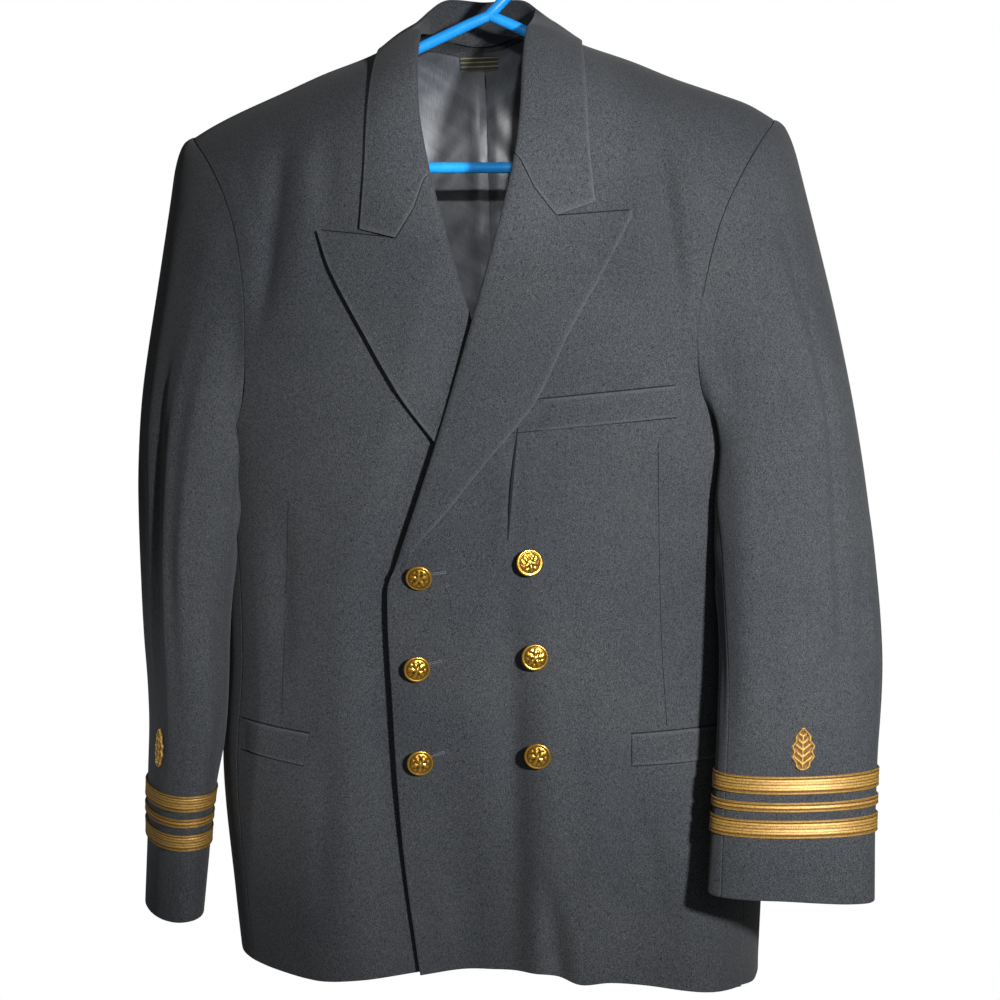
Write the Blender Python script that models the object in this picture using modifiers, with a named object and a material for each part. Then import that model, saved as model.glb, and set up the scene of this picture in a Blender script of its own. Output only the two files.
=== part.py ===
"""Naval dress jacket, double-breasted, hung on a tubular plastic hanger.

Metres, +Z up, +X to the wearer's left, -Y to the front. The origin is the
inside top of the hanger's hook, where a rail carries it. Every cloth piece is a
thin wall on one of two surfaces: the body skin, a rounded section for each
height that rolls over at the shoulder line, or the sleeve, a turned oval for
each height that runs up into the armhole.
"""
import bisect
import math
from collections import namedtuple

import bmesh
import bpy
from mathutils import Matrix, Vector

# Cloth and gaps
MM = 0.001
CLOTH = 2.2 * MM          # wool, its canvas and lining as one wall
FACING = 2.0 * MM         # the turned-out lapels and collar
LINING = 1.0 * MM
SEAM = 0.2 * MM           # each piece stops this short of its seam line
STAND_GAP = 2.0 * MM      # collar stand above the neck seam
GORGE_GAP = 0.5 * MM      # and at the seam between collar and lapel
LAPEL_LIFT = 3.9 * MM     # lapel's outer face above the front that it lies on
TUCK = 7.6 * MM           # how far the lower front sinks under the upper one
TUCK_START = 48.0 * MM    # where it starts to sink, before the upper edge
TUCK_RUN = 44.0 * MM      # width over which it sinks
FOLD_WRAP = 4.2 * MM      # the roll stands this far past the front's own edge

# Whole garment
JACKET_X = -12.0 * MM     # the jacket hangs to one side of the hook
HEM_Z = -0.886
BREAK_Z = -0.560          # where the lapels start to turn out
ARMPIT_Z = -0.430
NECK_Z = -0.078           # back neck seam
NECK_RUN = 0.050          # half width of the neck at the shoulder seam
RIDGE_Y = 14.0 * MM       # shoulder seam lies a little behind the hanger
SHOULDER_ROLL = 0.100     # height over which the front rolls up to the seam
BODY_POWER = 2.4          # roundness of the body's section
SIDE_SHARE = 0.90         # front seam's place, as a share of the half width

TorsoRow = namedtuple("TorsoRow", "z half front back")
TORSO = [
    TorsoRow(-0.900, 0.230, 0.115, 0.082),
    TorsoRow(-0.840, 0.235, 0.114, 0.086),
    TorsoRow(-0.720, 0.243, 0.110, 0.090),
    TorsoRow(-0.620, 0.236, 0.101, 0.084),
    TorsoRow(-0.500, 0.238, 0.101, 0.086),
    TorsoRow(-0.430, 0.246, 0.103, 0.092),
    TorsoRow(-0.300, 0.274, 0.100, 0.090),
    TorsoRow(-0.200, 0.285, 0.094, 0.080),
    TorsoRow(-0.080, 0.285, 0.090, 0.078),
]

# Shoulder line, from the jacket's centre plane, for the wearer's two sides
ShoulderRow = namedtuple("ShoulderRow", "x left right")
SHOULDER = [
    ShoulderRow(0.0000, -0.0580, -0.0580),
    ShoulderRow(0.0500, -0.0735, -0.0745),
    ShoulderRow(0.0875, -0.0925, -0.0945),
    ShoulderRow(0.1350, -0.1108, -0.1105),
    ShoulderRow(0.1700, -0.1262, -0.1240),
    ShoulderRow(0.2100, -0.1412, -0.1390),
    ShoulderRow(0.2350, -0.1512, -0.1495),
    ShoulderRow(0.2580, -0.1655, -0.1610),
]

# How far the hem hangs below its height, round the body from the centre front:
# below zero is towards the wearer's right
HemRow = namedtuple("HemRow", "angle down")
HEM = [
    HemRow(-180.0, 0.000), HemRow(-90.0, 0.000), HemRow(-34.0, 0.004), HemRow(-19.0, 0.000),
    HemRow(-7.0, -0.001), HemRow(5.0, -0.004), HemRow(9.5, -0.005), HemRow(16.5, 0.002),
    HemRow(23.0, 0.001), HemRow(30.0, 0.003), HemRow(38.0, 0.0055), HemRow(47.0, 0.0085),
    HemRow(61.0, 0.014), HemRow(75.0, 0.021), HemRow(95.0, 0.017), HemRow(135.0, 0.004),
    HemRow(180.0, 0.000),
]

# Front edge below the break and roll line above it, measured on each side from
# the centre plane towards the side that the front belongs to
EdgeRow = namedtuple("EdgeRow", "z left right")
EDGE = [
    EdgeRow(-0.890, -0.0540, -0.0540),
    EdgeRow(-0.786, -0.0646, -0.0640),
    EdgeRow(-0.667, -0.0717, -0.0700),
    EdgeRow(-0.560, -0.0745, -0.0740),
    EdgeRow(-0.5345, -0.0656, -0.0660),
    EdgeRow(-0.4338, -0.0291, -0.0330),
    EdgeRow(-0.3346, 0.0028, -0.0012),
    EdgeRow(-0.2488, 0.0281, 0.0214),
    EdgeRow(-0.2042, 0.0390, 0.0316),
    EdgeRow(-0.1637, 0.0448, 0.0380),
    EdgeRow(-0.1233, 0.0465, 0.0405),
    EdgeRow(-0.0750, 0.0480, 0.0430),
]

# Armhole seam on the front, bottom to top
HoleRow = namedtuple("HoleRow", "x z")
ARMHOLE_FRONT = {
    "left": [
        HoleRow(0.2040, -0.4200), HoleRow(0.1900, -0.3920), HoleRow(0.1868, -0.3550),
        HoleRow(0.1930, -0.3120), HoleRow(0.2060, -0.2620), HoleRow(0.2230, -0.2240),
        HoleRow(0.2420, -0.1905), HoleRow(0.2530, -0.1735), HoleRow(0.2562, -0.1645),
    ],
    "right": [
        HoleRow(0.2080, -0.4200), HoleRow(0.1985, -0.3920), HoleRow(0.1952, -0.3520),
        HoleRow(0.1948, -0.3100), HoleRow(0.1992, -0.2620), HoleRow(0.2110, -0.2220),
        HoleRow(0.2300, -0.1900), HoleRow(0.2490, -0.1690), HoleRow(0.2562, -0.1600),
    ],
}
ARMHOLE_BACK = [
    HoleRow(0.2130, -0.4200), HoleRow(0.2040, -0.3900), HoleRow(0.2030, -0.3500),
    HoleRow(0.2065, -0.3080), HoleRow(0.2140, -0.2640), HoleRow(0.2240, -0.2280),
    HoleRow(0.2390, -0.1950), HoleRow(0.2520, -0.1740), HoleRow(0.2562, -0.1645),
]

# Outer edge of the lapels, from the break up to the peak, then the gorge seam
LapelRow = namedtuple("LapelRow", "x z")
LAPEL_EDGE = {
    "left": [
        LapelRow(-0.0740, -0.5590), LapelRow(-0.0643, -0.5470), LapelRow(-0.0478, -0.5217),
        LapelRow(-0.0264, -0.4988), LapelRow(0.0076, -0.4583), LapelRow(0.0413, -0.4200),
        LapelRow(0.0570, -0.3990), LapelRow(0.0835, -0.3454), LapelRow(0.1085, -0.3028),
        LapelRow(0.1345, -0.2545),
    ],
    "right": [
        LapelRow(-0.0735, -0.5590), LapelRow(-0.0640, -0.5500), LapelRow(-0.0400, -0.5240),
        LapelRow(-0.0050, -0.4820), LapelRow(0.0304, -0.4358), LapelRow(0.0580, -0.3956),
        LapelRow(0.0874, -0.3426), LapelRow(0.1145, -0.2900), LapelRow(0.1240, -0.2598),
    ],
}
Gorge = namedtuple("Gorge", "roll_x roll_z notch_x notch_z peak_x peak_z tip_x tip_z")
GORGE = {
    "left": Gorge(0.0385, -0.2065, 0.0735, -0.2530, 0.1345, -0.2500, 0.1052, -0.2425),
    "right": Gorge(0.0285, -0.2200, 0.0590, -0.2670, 0.1240, -0.2580, 0.0893, -0.2585),
}

# Leaf edge of the collar on the chest, for each height of its fold
CollarChest = namedtuple("CollarChest", "z x edge_z")
COLLAR_CHEST = {
    "left": [
        CollarChest(-0.2065, 0.1040, -0.2330), CollarChest(-0.1800, 0.1012, -0.2000),
        CollarChest(-0.1450, 0.0990, -0.1600), CollarChest(-0.1150, 0.0962, -0.1270),
        CollarChest(-0.0880, 0.0920, -0.0990),
    ],
    "right": [
        CollarChest(-0.2200, 0.0882, -0.2480), CollarChest(-0.1800, 0.0845, -0.2060),
        CollarChest(-0.1450, 0.0818, -0.1640), CollarChest(-0.1150, 0.0800, -0.1310),
        CollarChest(-0.0880, 0.0790, -0.1030),
    ],
}
CHEST_FOLDS = (-0.196, -0.176, -0.154, -0.132, -0.113, -0.098, -0.088)
# Collar from the shoulder round to the centre back: place on the neck seam, rise
# of the stand above it, its lean outwards and the leaf edge on the back
CollarBack = namedtuple("CollarBack", "x rise lean_x lean_y edge_x edge_down")
COLLAR_BACK = [
    CollarBack(0.0478, 0.0100, 0.0000, -0.0060, 0.0880, 0.0000),
    CollarBack(0.0440, 0.0185, 0.0030, 0.0000, 0.0860, 0.0065),
    CollarBack(0.0270, 0.0370, 0.0050, 0.0100, 0.0560, 0.0240),
    CollarBack(0.0000, 0.0425, 0.0000, 0.0130, 0.0000, 0.0330),
]

# The collar stands higher at the side of the neck on the wearer's right
STAND_MORE = {"left": -1.5 * MM, "right": 3.0 * MM}
STAND_MORE_X = 0.030
LEAF_IN = {"left": 0.0, "right": 5.0 * MM}     # how much nearer the neck its leaf ends
LEAF_IN_X = 0.088
FOLD_OUT = (0.0, 1.2 * MM, 3.0 * MM)      # rounding of the collar's top fold
FOLD_UP = (-2.5 * MM, 0.4 * MM, 0.6 * MM)
LEAF_BULGE = 4.0 * MM     # how far the leaf bows out between fold and edge
NECK_DIP = 4.0 * MM       # back neck seam at the centre, below its height

# Section of a turned fold: distance from the roll line and lift off the chest
ROLL_SECTION = ((0.0, -2.2 * MM), (0.0, -0.8 * MM), (0.5 * MM, 1.4 * MM), (2.4 * MM, 3.1 * MM),
                (6.5 * MM, LAPEL_LIFT))
LEAF_SHARES = (0.25, 0.5, 0.75, 1.0)
LAPEL_STEPS = (0.035, 0.08, 0.15, 0.24, 0.34, 0.45, 0.56, 0.67, 0.78, 0.88, 0.95, 1.0)
LAPEL_LEAST = 3.0 * MM    # width of a lapel past its roll where it starts
GORGE_PULL = 4            # how late up the lapel its rows turn into the gorge seam
NOTCH_SHARE = 0.5         # place of the notch along the gorge rows

# Folds of the body, from the centre plane; depth below zero is a trough
Fold = namedtuple("Fold", "x0 z0 x1 z1 width depth")
BODY_FOLDS = [
    Fold(-0.155, -0.150, -0.186, -0.350, 0.013, -0.0045),
    Fold(-0.128, -0.160, -0.150, -0.330, 0.014, 0.0030),
    Fold(-0.115, -0.165, -0.121, -0.260, 0.010, -0.0025),
    Fold(0.157, -0.160, 0.176, -0.345, 0.012, -0.0040),
    Fold(0.206, -0.170, 0.200, -0.260, 0.010, -0.0030),
    Fold(0.022, -1.100, 0.026, -0.520, 0.018, -0.0070),
    Fold(-0.018, -1.250, -0.012, -0.640, 0.045, -0.0280),
    Fold(0.074, -1.080, 0.056, -0.780, 0.012, -0.0070),
    Fold(0.190, -1.180, 0.172, -0.660, 0.036, 0.0230),
    Fold(-0.130, -1.080, -0.126, -0.690, 0.040, 0.0080),
    Fold(-0.172, -0.660, -0.166, -0.470, 0.012, -0.0025),
]
BACK_FOLDS = [
    Fold(0.085, -0.160, 0.100, -0.420, 0.020, -0.0050),
    Fold(-0.090, -0.150, -0.110, -0.380, 0.022, -0.0060),
    Fold(0.000, -1.150, 0.004, -0.560, 0.040, -0.0120),
    Fold(0.120, -1.120, 0.110, -0.650, 0.045, 0.0090),
    Fold(-0.130, -1.120, -0.118, -0.620, 0.045, 0.0080),
]

# Sleeve ovals: centre, half sizes along and across, and the turn of the long one
SleeveRow = namedtuple("SleeveRow", "z x y wide deep turn")
SLEEVE = {
    "left": [
        SleeveRow(-0.796, 0.2520, -0.147, 0.0655, 0.0235, 0.0),
        SleeveRow(-0.760, 0.2545, -0.136, 0.0650, 0.0270, 2.0),
        SleeveRow(-0.700, 0.2600, -0.114, 0.0655, 0.0340, 8.0),
        SleeveRow(-0.620, 0.2670, -0.086, 0.0675, 0.0415, 16.0),
        SleeveRow(-0.530, 0.2640, -0.058, 0.0680, 0.0500, 22.0),
        SleeveRow(-0.450, 0.2555, -0.032, 0.0660, 0.0640, 20.0),
    ],
    "right": [
        SleeveRow(-0.832, 0.2704, -0.086, 0.0520, 0.0228, 61.0),
        SleeveRow(-0.790, 0.2663, -0.084, 0.0550, 0.0241, 62.0),
        SleeveRow(-0.740, 0.2640, -0.080, 0.0600, 0.0259, 62.0),
        SleeveRow(-0.670, 0.2570, -0.074, 0.0680, 0.0300, 62.0),
        SleeveRow(-0.585, 0.2580, -0.062, 0.0700, 0.0360, 64.0),
        SleeveRow(-0.510, 0.2570, -0.048, 0.0700, 0.0410, 62.0),
        SleeveRow(-0.450, 0.2500, -0.032, 0.0690, 0.0500, 58.0),
    ],
}
SLEEVE_TOP_Z = -0.450     # the lowest ring that the cap runs into
SLEEVE_POWER = 2.15
SLEEVE_CLEAR = 6.5 * MM   # sleeve's outer face from the body's
CAP_ROLL = 20.0 * MM      # how far the cap runs on before it turns down
HOLE_GAP = 1.2 * MM       # sleeve from the armhole edge
CAP_DROP = 0.34           # share of a cap line that is already the arm's own run
# Sleeve head: how far it stands out past the cap's line, by the share along it
RopeRow = namedtuple("RopeRow", "t out")
ROPE = [
    RopeRow(0.0, 0.0), RopeRow(0.05, 0.0030), RopeRow(0.12, 0.0055), RopeRow(0.22, 0.0050),
    RopeRow(0.34, 0.0020), RopeRow(0.50, 0.0), RopeRow(1.0, 0.0),
]
ROPE_RISE = 0.3           # how much of it goes up instead of out
ROPE_Z = -0.235           # it fades in above this height
ROPE_RUN = 0.050
ROPE_SHARE = {"left": 0.6, "right": 1.0}
CUFF_SLANT = {"left": 5.0 * MM, "right": 0.0}     # how much lower the cuff is on its outer side
UNDER_Z = -0.345          # below this the cap turns from its seam down the arm
UNDER_RUN = 0.075
UNDER_PITCH = 0.35        # how steeply it leaves the seam there
ARMPIT_GAP = 1.4 * MM     # side panel's top edge below the armhole
BODY_CLEAR = 0.9 * MM     # least gap to the body at the armpit
CLEAR_RUN = 0.024         # height over which the gap grows to the full one
CLEAR_START = 0.33        # share of that growth which is done at the armpit
# Folds of the sleeves: turn from straight out, towards the front, in degrees
SleeveFold = namedtuple("SleeveFold", "a0 z0 a1 z1 width depth")
SLEEVE_FOLDS = {
    "left": [
        SleeveFold(40.0, -0.200, 62.0, -0.580, 12.0, -0.0035),
        SleeveFold(75.0, -0.360, 110.0, -0.460, 14.0, -0.0035),
        SleeveFold(25.0, -0.500, 38.0, -0.640, 12.0, -0.0025),
    ],
    "right": [
        SleeveFold(58.0, -0.360, 62.0, -0.700, 11.0, -0.0060),
        SleeveFold(92.0, -0.360, 96.0, -0.620, 12.0, 0.0030),
        SleeveFold(30.0, -0.420, 34.0, -0.660, 10.0, -0.0030),
    ],
}
FOLD_END = 0.35           # share of a fold's length over which each end dies out

# Cuff lace: widths and gaps of the three rows, up from the lowest edge
LACE_UP = {"left": 47.0 * MM, "right": 61.5 * MM}     # lowest row above the cuff edge
WIDE_LACE = 13.7 * MM
NARROW_LACE = 7.3 * MM
LACE_GAP = 6.0 * MM
LACE_THICK = 1.3 * MM
LACE_SEAT = 0.5 * MM      # lace and leaf above the sleeve
LEAF_LONG = 33.0 * MM
LEAF_WIDE = 17.0 * MM
LEAF_UP = {"left": 4.2 * MM, "right": 19.5 * MM}     # leaf above the top row of lace
LEAF_HIGH = 1.8 * MM      # relief at its midrib
LEAF_TURN = {"left": 84.0, "right": 48.0}

# Lining and blank label inside the back
LINING_GAP = 0.8 * MM
LABEL_GAP = 1.9 * MM
LABEL_THICK = 0.8 * MM
LABEL_X = (-0.022, 0.014)
LABEL_Z = (-0.104, -0.090)

# Pocket welts, from the centre plane towards their own side
Welt = namedtuple("Welt", "x0 z0 x1 z1 x2 z2 x3 z3")
BREAST_WELT = Welt(0.0506, -0.4278, 0.1685, -0.4187, 0.1664, -0.3933, 0.0560, -0.4022)
HIP_WELT = {
    "left": Welt(0.1270, -0.7057, 0.2130, -0.7035, 0.2130, -0.6775, 0.1274, -0.6802),
    "right": Welt(0.1509, -0.7076, 0.2130, -0.7000, 0.2130, -0.6735, 0.1457, -0.6807),
}
WELT_LIFT = 2.9 * MM
WELT_GAP = 1.0 * MM

# Buttons
BUTTON_WIDE = 22.5 * MM
BUTTON_SIDES = 20
PETALS = 5
PETAL_HIGH = 0.7 * MM
BUTTON_SEAT = 0.3 * MM    # shank's end above the cloth
BUTTON_FACE = Vector((0.0, -0.6, 0.05))   # turns the buttons towards the front
ButtonRow = namedtuple("ButtonRow", "x z")
BUTTONS = [
    ButtonRow(-0.0460, -0.5455), ButtonRow(-0.0506, -0.6224), ButtonRow(-0.0492, -0.6999),
    ButtonRow(0.0446, -0.5357), ButtonRow(0.0484, -0.6136), ButtonRow(0.0501, -0.6942),
]

# Hanger
TUBE = 4.8 * MM           # radius of the plastic tube
APEX_Z = -0.0664          # middle of the tube where the arms meet the hook
HOOK_RADIUS = 0.030       # of the hook's centre line
ARM_HALF = 0.205          # half length of the hanger at the tube's centre
ARM_SLOPE = 0.466
BAR_Z = -0.198
TILT = math.radians(2.0)  # the hanger hangs a little lower at the wearer's left

HOOK_END = 190.0          # turn of the hook's free end, in degrees from +X

COLLECTION = "naval_dress_jacket"
SIDES = {"left": 1.0, "right": -1.0}

# Rows and columns of the panels
BODY_HEIGHTS = [HEM_Z, -0.850, -0.800, -0.750, -0.700, -0.645, -0.600, BREAK_Z, -0.548, -0.520,
                -0.475]
FRONT_SHARES = (0.0, 0.03, 0.08, 0.14, 0.20, 0.27, 0.33, 0.39, 0.45, 0.55, 0.67, 0.79, 0.90, 1.0)
BACK_SHARES = (0.0, 0.09, 0.21, 0.34, 0.48, 0.62, 0.76, 0.89, 1.0)
SIDE_STEPS = 6
CAP_STEPS = (0.0, 0.05, 0.12, 0.22, 0.34, 0.50, 0.67, 0.84)
SEAM_FRONT = 8            # line of the front sleeve seam, counted from the shoulder
SEAM_BACK = 18            # and of the back one
ARM_SEAM = 0.35 * MM      # each sleeve piece stops this short of them


# Small helpers

def curve(keys, values, at):
    """Value at a place on a smooth curve through the given points."""
    if at <= keys[0]:
        return values[0]
    if at >= keys[-1]:
        return values[-1]
    i = bisect.bisect_right(keys, at) - 1
    last = len(keys) - 1

    def slope(j):
        low = max(j - 1, 0)
        high = min(j + 1, last)
        return (values[high] - values[low]) / (keys[high] - keys[low])

    span = keys[i + 1] - keys[i]
    t = (at - keys[i]) / span
    start = (1 + 2 * t) * (1 - t) ** 2 * values[i] + t * (1 - t) ** 2 * span * slope(i)
    end = t * t * (3 - 2 * t) * values[i + 1] + t * t * (t - 1) * span * slope(i + 1)
    return start + end


def column(rows, name, at, key="z"):
    """One column of a table, read at a value of its key column."""
    keys = [getattr(row, key) for row in rows]
    values = [getattr(row, name) for row in rows]
    return curve(keys, values, at)


def smooth(t):
    """Soft step from 0 to 1."""
    t = min(max(t, 0.0), 1.0)
    return t * t * (3 - 2 * t)


def mix(a, b, t):
    return a + (b - a) * t


def steps(low, high, count):
    """Evenly spaced values, both ends included."""
    return [mix(low, high, i / (count - 1)) for i in range(count)]


def signed_power(value, power):
    return math.copysign(abs(value) ** power, value)


def fold_height(folds, x, z):
    """Sum of the troughs and ridges at a place, each dying out at its ends."""
    total = 0.0
    for f in folds:
        along_x = f[2] - f[0]
        along_z = f[3] - f[1]
        length_z = max(abs(along_z), 1e-6)
        t = (z - f[1]) / math.copysign(length_z, along_z)
        if t <= 0.0 or t >= 1.0:
            continue
        off = (x - (f[0] + along_x * t)) / f.width
        end = smooth(min(t, 1.0 - t) / FOLD_END)
        total += f.depth * end * math.exp(-off * off)
    return total


# Body skin

def shoulder_height(x):
    """Height of the shoulder line at a distance from the centre plane."""
    return column(SHOULDER, "left" if x >= 0 else "right", abs(x), key="x")


def body_point(angle, z):
    """Point of the plain body: 0 degrees is the front, 90 the wearer's left."""
    s = math.sin(math.radians(angle))
    c = math.cos(math.radians(angle))
    x = column(TORSO, "half", z) * signed_power(s, 2 / BODY_POWER)
    depth = column(TORSO, "front" if c > 0 else "back", z)
    y = -depth * signed_power(c, 2 / BODY_POWER)
    below = min(max(shoulder_height(x) - z, 0.0) / SHOULDER_ROLL, 1.0)
    roll = math.sqrt(1 - (1 - below) ** 2)
    return Vector((x, y * roll + RIDGE_Y * (1 - roll), z))


def body_normal(angle, z):
    """Outward direction of the body skin."""
    turn = 0.4
    drop = 0.5 * MM
    around = body_point(angle + turn, z) - body_point(angle - turn, z)
    up = body_point(angle, z) - body_point(angle, z - drop)
    return around.cross(up).normalized()


def skin(angle, z, lift=0.0):
    """Point on the folded body skin, moved out by a lift."""
    z = hem_height(angle, z)
    point = body_point(angle, z)
    in_front = abs(angle) < 90
    lift += fold_height(BODY_FOLDS if in_front else BACK_FOLDS, point.x, z)
    point = point + body_normal(angle, z) * lift
    return point + Vector((JACKET_X, 0, 0))


def front_angle(x, z):
    """Angle on the front whose point lies at this distance from the centre."""
    share = min(abs(x) / column(TORSO, "half", z), 1.0)
    return math.copysign(math.degrees(math.asin(share ** (BODY_POWER / 2))), x)


def back_angle(x, z):
    angle = front_angle(x, z)
    return math.copysign(180.0, angle if x else 1.0) - angle


def tuck(x, z):
    """How far the lower front lies inside the upper one that covers it."""
    cover = column(EDGE, "left", z) - TUCK_START
    return -TUCK * smooth((x - cover) / TUCK_RUN)


def on_front(side, own_x, z, lift=0.0):
    """Point on a front, at a distance from the centre to the front's own side."""
    x = SIDES[side] * own_x
    if side == "right":
        lift += tuck(x, z)
    return skin(front_angle(x, z), z, lift)


# Solids

def material(name, colour, roughness, metallic=0.0):
    made = bpy.data.materials.new(name)
    made.use_nodes = True
    shader = made.node_tree.nodes["Principled BSDF"]
    shader.inputs["Base Color"].default_value = (*colour, 1.0)
    shader.inputs["Roughness"].default_value = roughness
    shader.inputs["Metallic"].default_value = metallic
    return made


def add_mesh(name, points, faces, look):
    """Object with its faces pointing out, in the part's collection."""
    mesh = bpy.data.meshes.new(name)
    mesh.from_pydata([tuple(p) for p in points], [], faces)
    work = bmesh.new()
    work.from_mesh(mesh)
    bmesh.ops.recalc_face_normals(work, faces=work.faces)
    work.to_mesh(mesh)
    work.free()
    mesh.materials.append(look.copy())
    made = bpy.data.objects.new(name, mesh)
    bpy.data.collections[COLLECTION].objects.link(made)
    return made


def wall(name, outer, inner, look, looped=False):
    """Closed wall between two grids of points, rows by columns.

    A looped wall joins its last column to its first, as a band does.
    """
    rows = len(outer)
    cols = len(outer[0])
    points = [p for row in outer for p in row] + [p for row in inner for p in row]
    half = rows * cols
    ends = cols if looped else cols - 1
    faces = []
    for i in range(rows - 1):
        for j in range(ends):
            a = i * cols + j
            b = i * cols + (j + 1) % cols
            faces.append((a, b, b + cols, a + cols))
            faces.append((half + a, half + a + cols, half + b + cols, half + b))
    for j in range(ends):
        for i in (0, rows - 1):
            a = i * cols + j
            b = i * cols + (j + 1) % cols
            faces.append((a, half + a, half + b, b))
    if not looped:
        for i in range(rows - 1):
            for j in (0, cols - 1):
                a = i * cols + j
                faces.append((a, a + cols, half + a + cols, half + a))
    return add_mesh(name, points, faces, look)


def grid_normals(grid, looped=False, flip=False):
    """Unit normal at each point of a grid, from its neighbours."""
    rows = len(grid)
    cols = len(grid[0])
    normals = []
    for i in range(rows):
        line = []
        for j in range(cols):
            before = (j - 1) % cols if looped else max(j - 1, 0)
            after = (j + 1) % cols if looped else min(j + 1, cols - 1)
            across = grid[i][after] - grid[i][before]
            along = grid[min(i + 1, rows - 1)][j] - grid[max(i - 1, 0)][j]
            normal = across.cross(along).normalized()
            line.append(-normal if flip else normal)
        normals.append(line)
    return normals


def thick(grid, normals, thickness):
    """Second grid, moved inwards along the normals."""
    return [[p - n * thickness for p, n in zip(row, line)] for row, line in zip(grid, normals)]


# Body panels

def seam_x(z):
    """Seam between the front or back and the side panel."""
    return SIDE_SHARE * column(TORSO, "half", z)


def front_inner(side, z):
    """Inner edge of a front: its own edge, or just inside the roll."""
    wrap = FOLD_WRAP * smooth((z - BREAK_Z) / 0.020)
    return column(EDGE, side, z) + wrap


def hem_height(angle, z):
    """Height of a point, let down where the row is the hem."""
    return z - column(HEM, "down", angle, key="angle") if z == HEM_Z else z


def shoulder_side(side, own_x):
    return shoulder_height(SIDES[side] * own_x)


def fan_line(side, hole, inner_x, shares, k):
    """Row of own x and z between an inner edge and one point of an armhole.

    Rows are measured down from the shoulder line, so that the last one is it.
    """
    out_x, out_z = hole[k].x, hole[k].z
    last = k == len(hole) - 1
    out_down = 0.0 if last else shoulder_side(side, out_x) - out_z
    full_out = shoulder_side(side, hole[0].x) - hole[0].z
    in_z = out_z
    for _ in range(6):
        in_x = inner_x(in_z)
        full_in = shoulder_side(side, in_x) - hole[0].z
        in_z = shoulder_side(side, in_x) - out_down * full_in / full_out
    in_down = shoulder_side(side, in_x) - in_z
    line = []
    for share in shares:
        x = mix(in_x, out_x, share)
        down = mix(in_down, out_down, share)
        line.append((x, shoulder_side(side, x) - down))
    return line


def panel_lines(side, hole, inner_x, shares):
    """Own x and z of every point of a front or back panel, hem to shoulder."""
    lines = []
    for z in BODY_HEIGHTS:
        in_x = inner_x(z)
        lines.append([(mix(in_x, seam_x(z) - SEAM, share), z) for share in shares])
    lines.append([(mix(inner_x(ARMPIT_Z), seam_x(ARMPIT_Z) - SEAM, share), ARMPIT_Z)
                  for share in shares])
    for k in range(1, len(hole)):
        lines.append(fan_line(side, hole, inner_x, shares, k))
    return lines


def shoulder_gap(grid, way):
    """Moves the shoulder row off the seam line, to the front or the back."""
    grid[-1] = [p + Vector((0, way * SEAM * 1.3, 0)) for p in grid[-1]]
    return grid


def front_panel(side, look):
    lines = panel_lines(side, ARMHOLE_FRONT[side], lambda z: front_inner(side, z),
                        FRONT_SHARES)
    outer = [[on_front(side, x, z) for x, z in line] for line in lines]
    inner = [[on_front(side, x, z, -CLOTH) for x, z in line] for line in lines]
    shoulder_gap(outer, -1)
    shoulder_gap(inner, -1)
    return wall("front_" + side, outer, inner, look)


def on_back(side, own_x, z, lift=0.0):
    return skin(back_angle(SIDES[side] * own_x, z), z, lift)


def back_lines(side, shares):
    """Back panel rows; above the blade they end on a shallow neck curve."""
    lines = panel_lines(side, ARMHOLE_BACK, lambda z: SEAM, shares)
    top = len(BODY_HEIGHTS) + 1
    for i in range(top, len(lines)):
        rise = (i - top + 1) / (len(lines) - top)
        lines[i] = [(x, z - rise ** 2 * (shoulder_side(side, x) - neck_height(side, x)))
                    for x, z in lines[i]]
    return lines


def back_panel(side, look):
    lines = back_lines(side, BACK_SHARES)
    outer = [[on_back(side, x, z) for x, z in line] for line in lines]
    inner = [[on_back(side, x, z, -CLOTH) for x, z in line] for line in lines]
    shoulder_gap(outer, 1)
    shoulder_gap(inner, 1)
    return wall("back_" + side, outer, inner, look)


def side_panel(side, look):
    """Panel under the arm, from the front seam round to the back seam."""
    sign = SIDES[side]
    outer = []
    inner = []
    for z in BODY_HEIGHTS + [ARMPIT_Z - ARMPIT_GAP]:
        first = front_angle(seam_x(z) + SEAM, z)
        turns = steps(first, 180.0 - first, SIDE_STEPS)
        outer.append([skin(sign * a, z) for a in turns])
        inner.append([skin(sign * a, z, -CLOTH) for a in turns])
    return wall("side_" + side, outer, inner, look)


# Lapels and collar

def gorge_point(gorge, end_x, end_z, share):
    """Place on the line from the roll through the notch to a free corner."""
    if share < NOTCH_SHARE:
        t = share / NOTCH_SHARE
        return mix(gorge.roll_x, gorge.notch_x, t), mix(gorge.roll_z, gorge.notch_z, t)
    t = (share - NOTCH_SHARE) / (1 - NOTCH_SHARE)
    return mix(gorge.notch_x, end_x, t), mix(gorge.notch_z, end_z, t)


def rolled_row(side, roll_x, roll_z, place):
    """Outer points from the fold's inside, round the roll and over the chest."""
    row = []
    for dx, lift in ROLL_SECTION:
        row.append(on_front(side, roll_x + dx, roll_z, lift))
    for share in LEAF_SHARES:
        x, z = place(share)
        row.append(on_front(side, x, z, LAPEL_LIFT))
    return row


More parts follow.
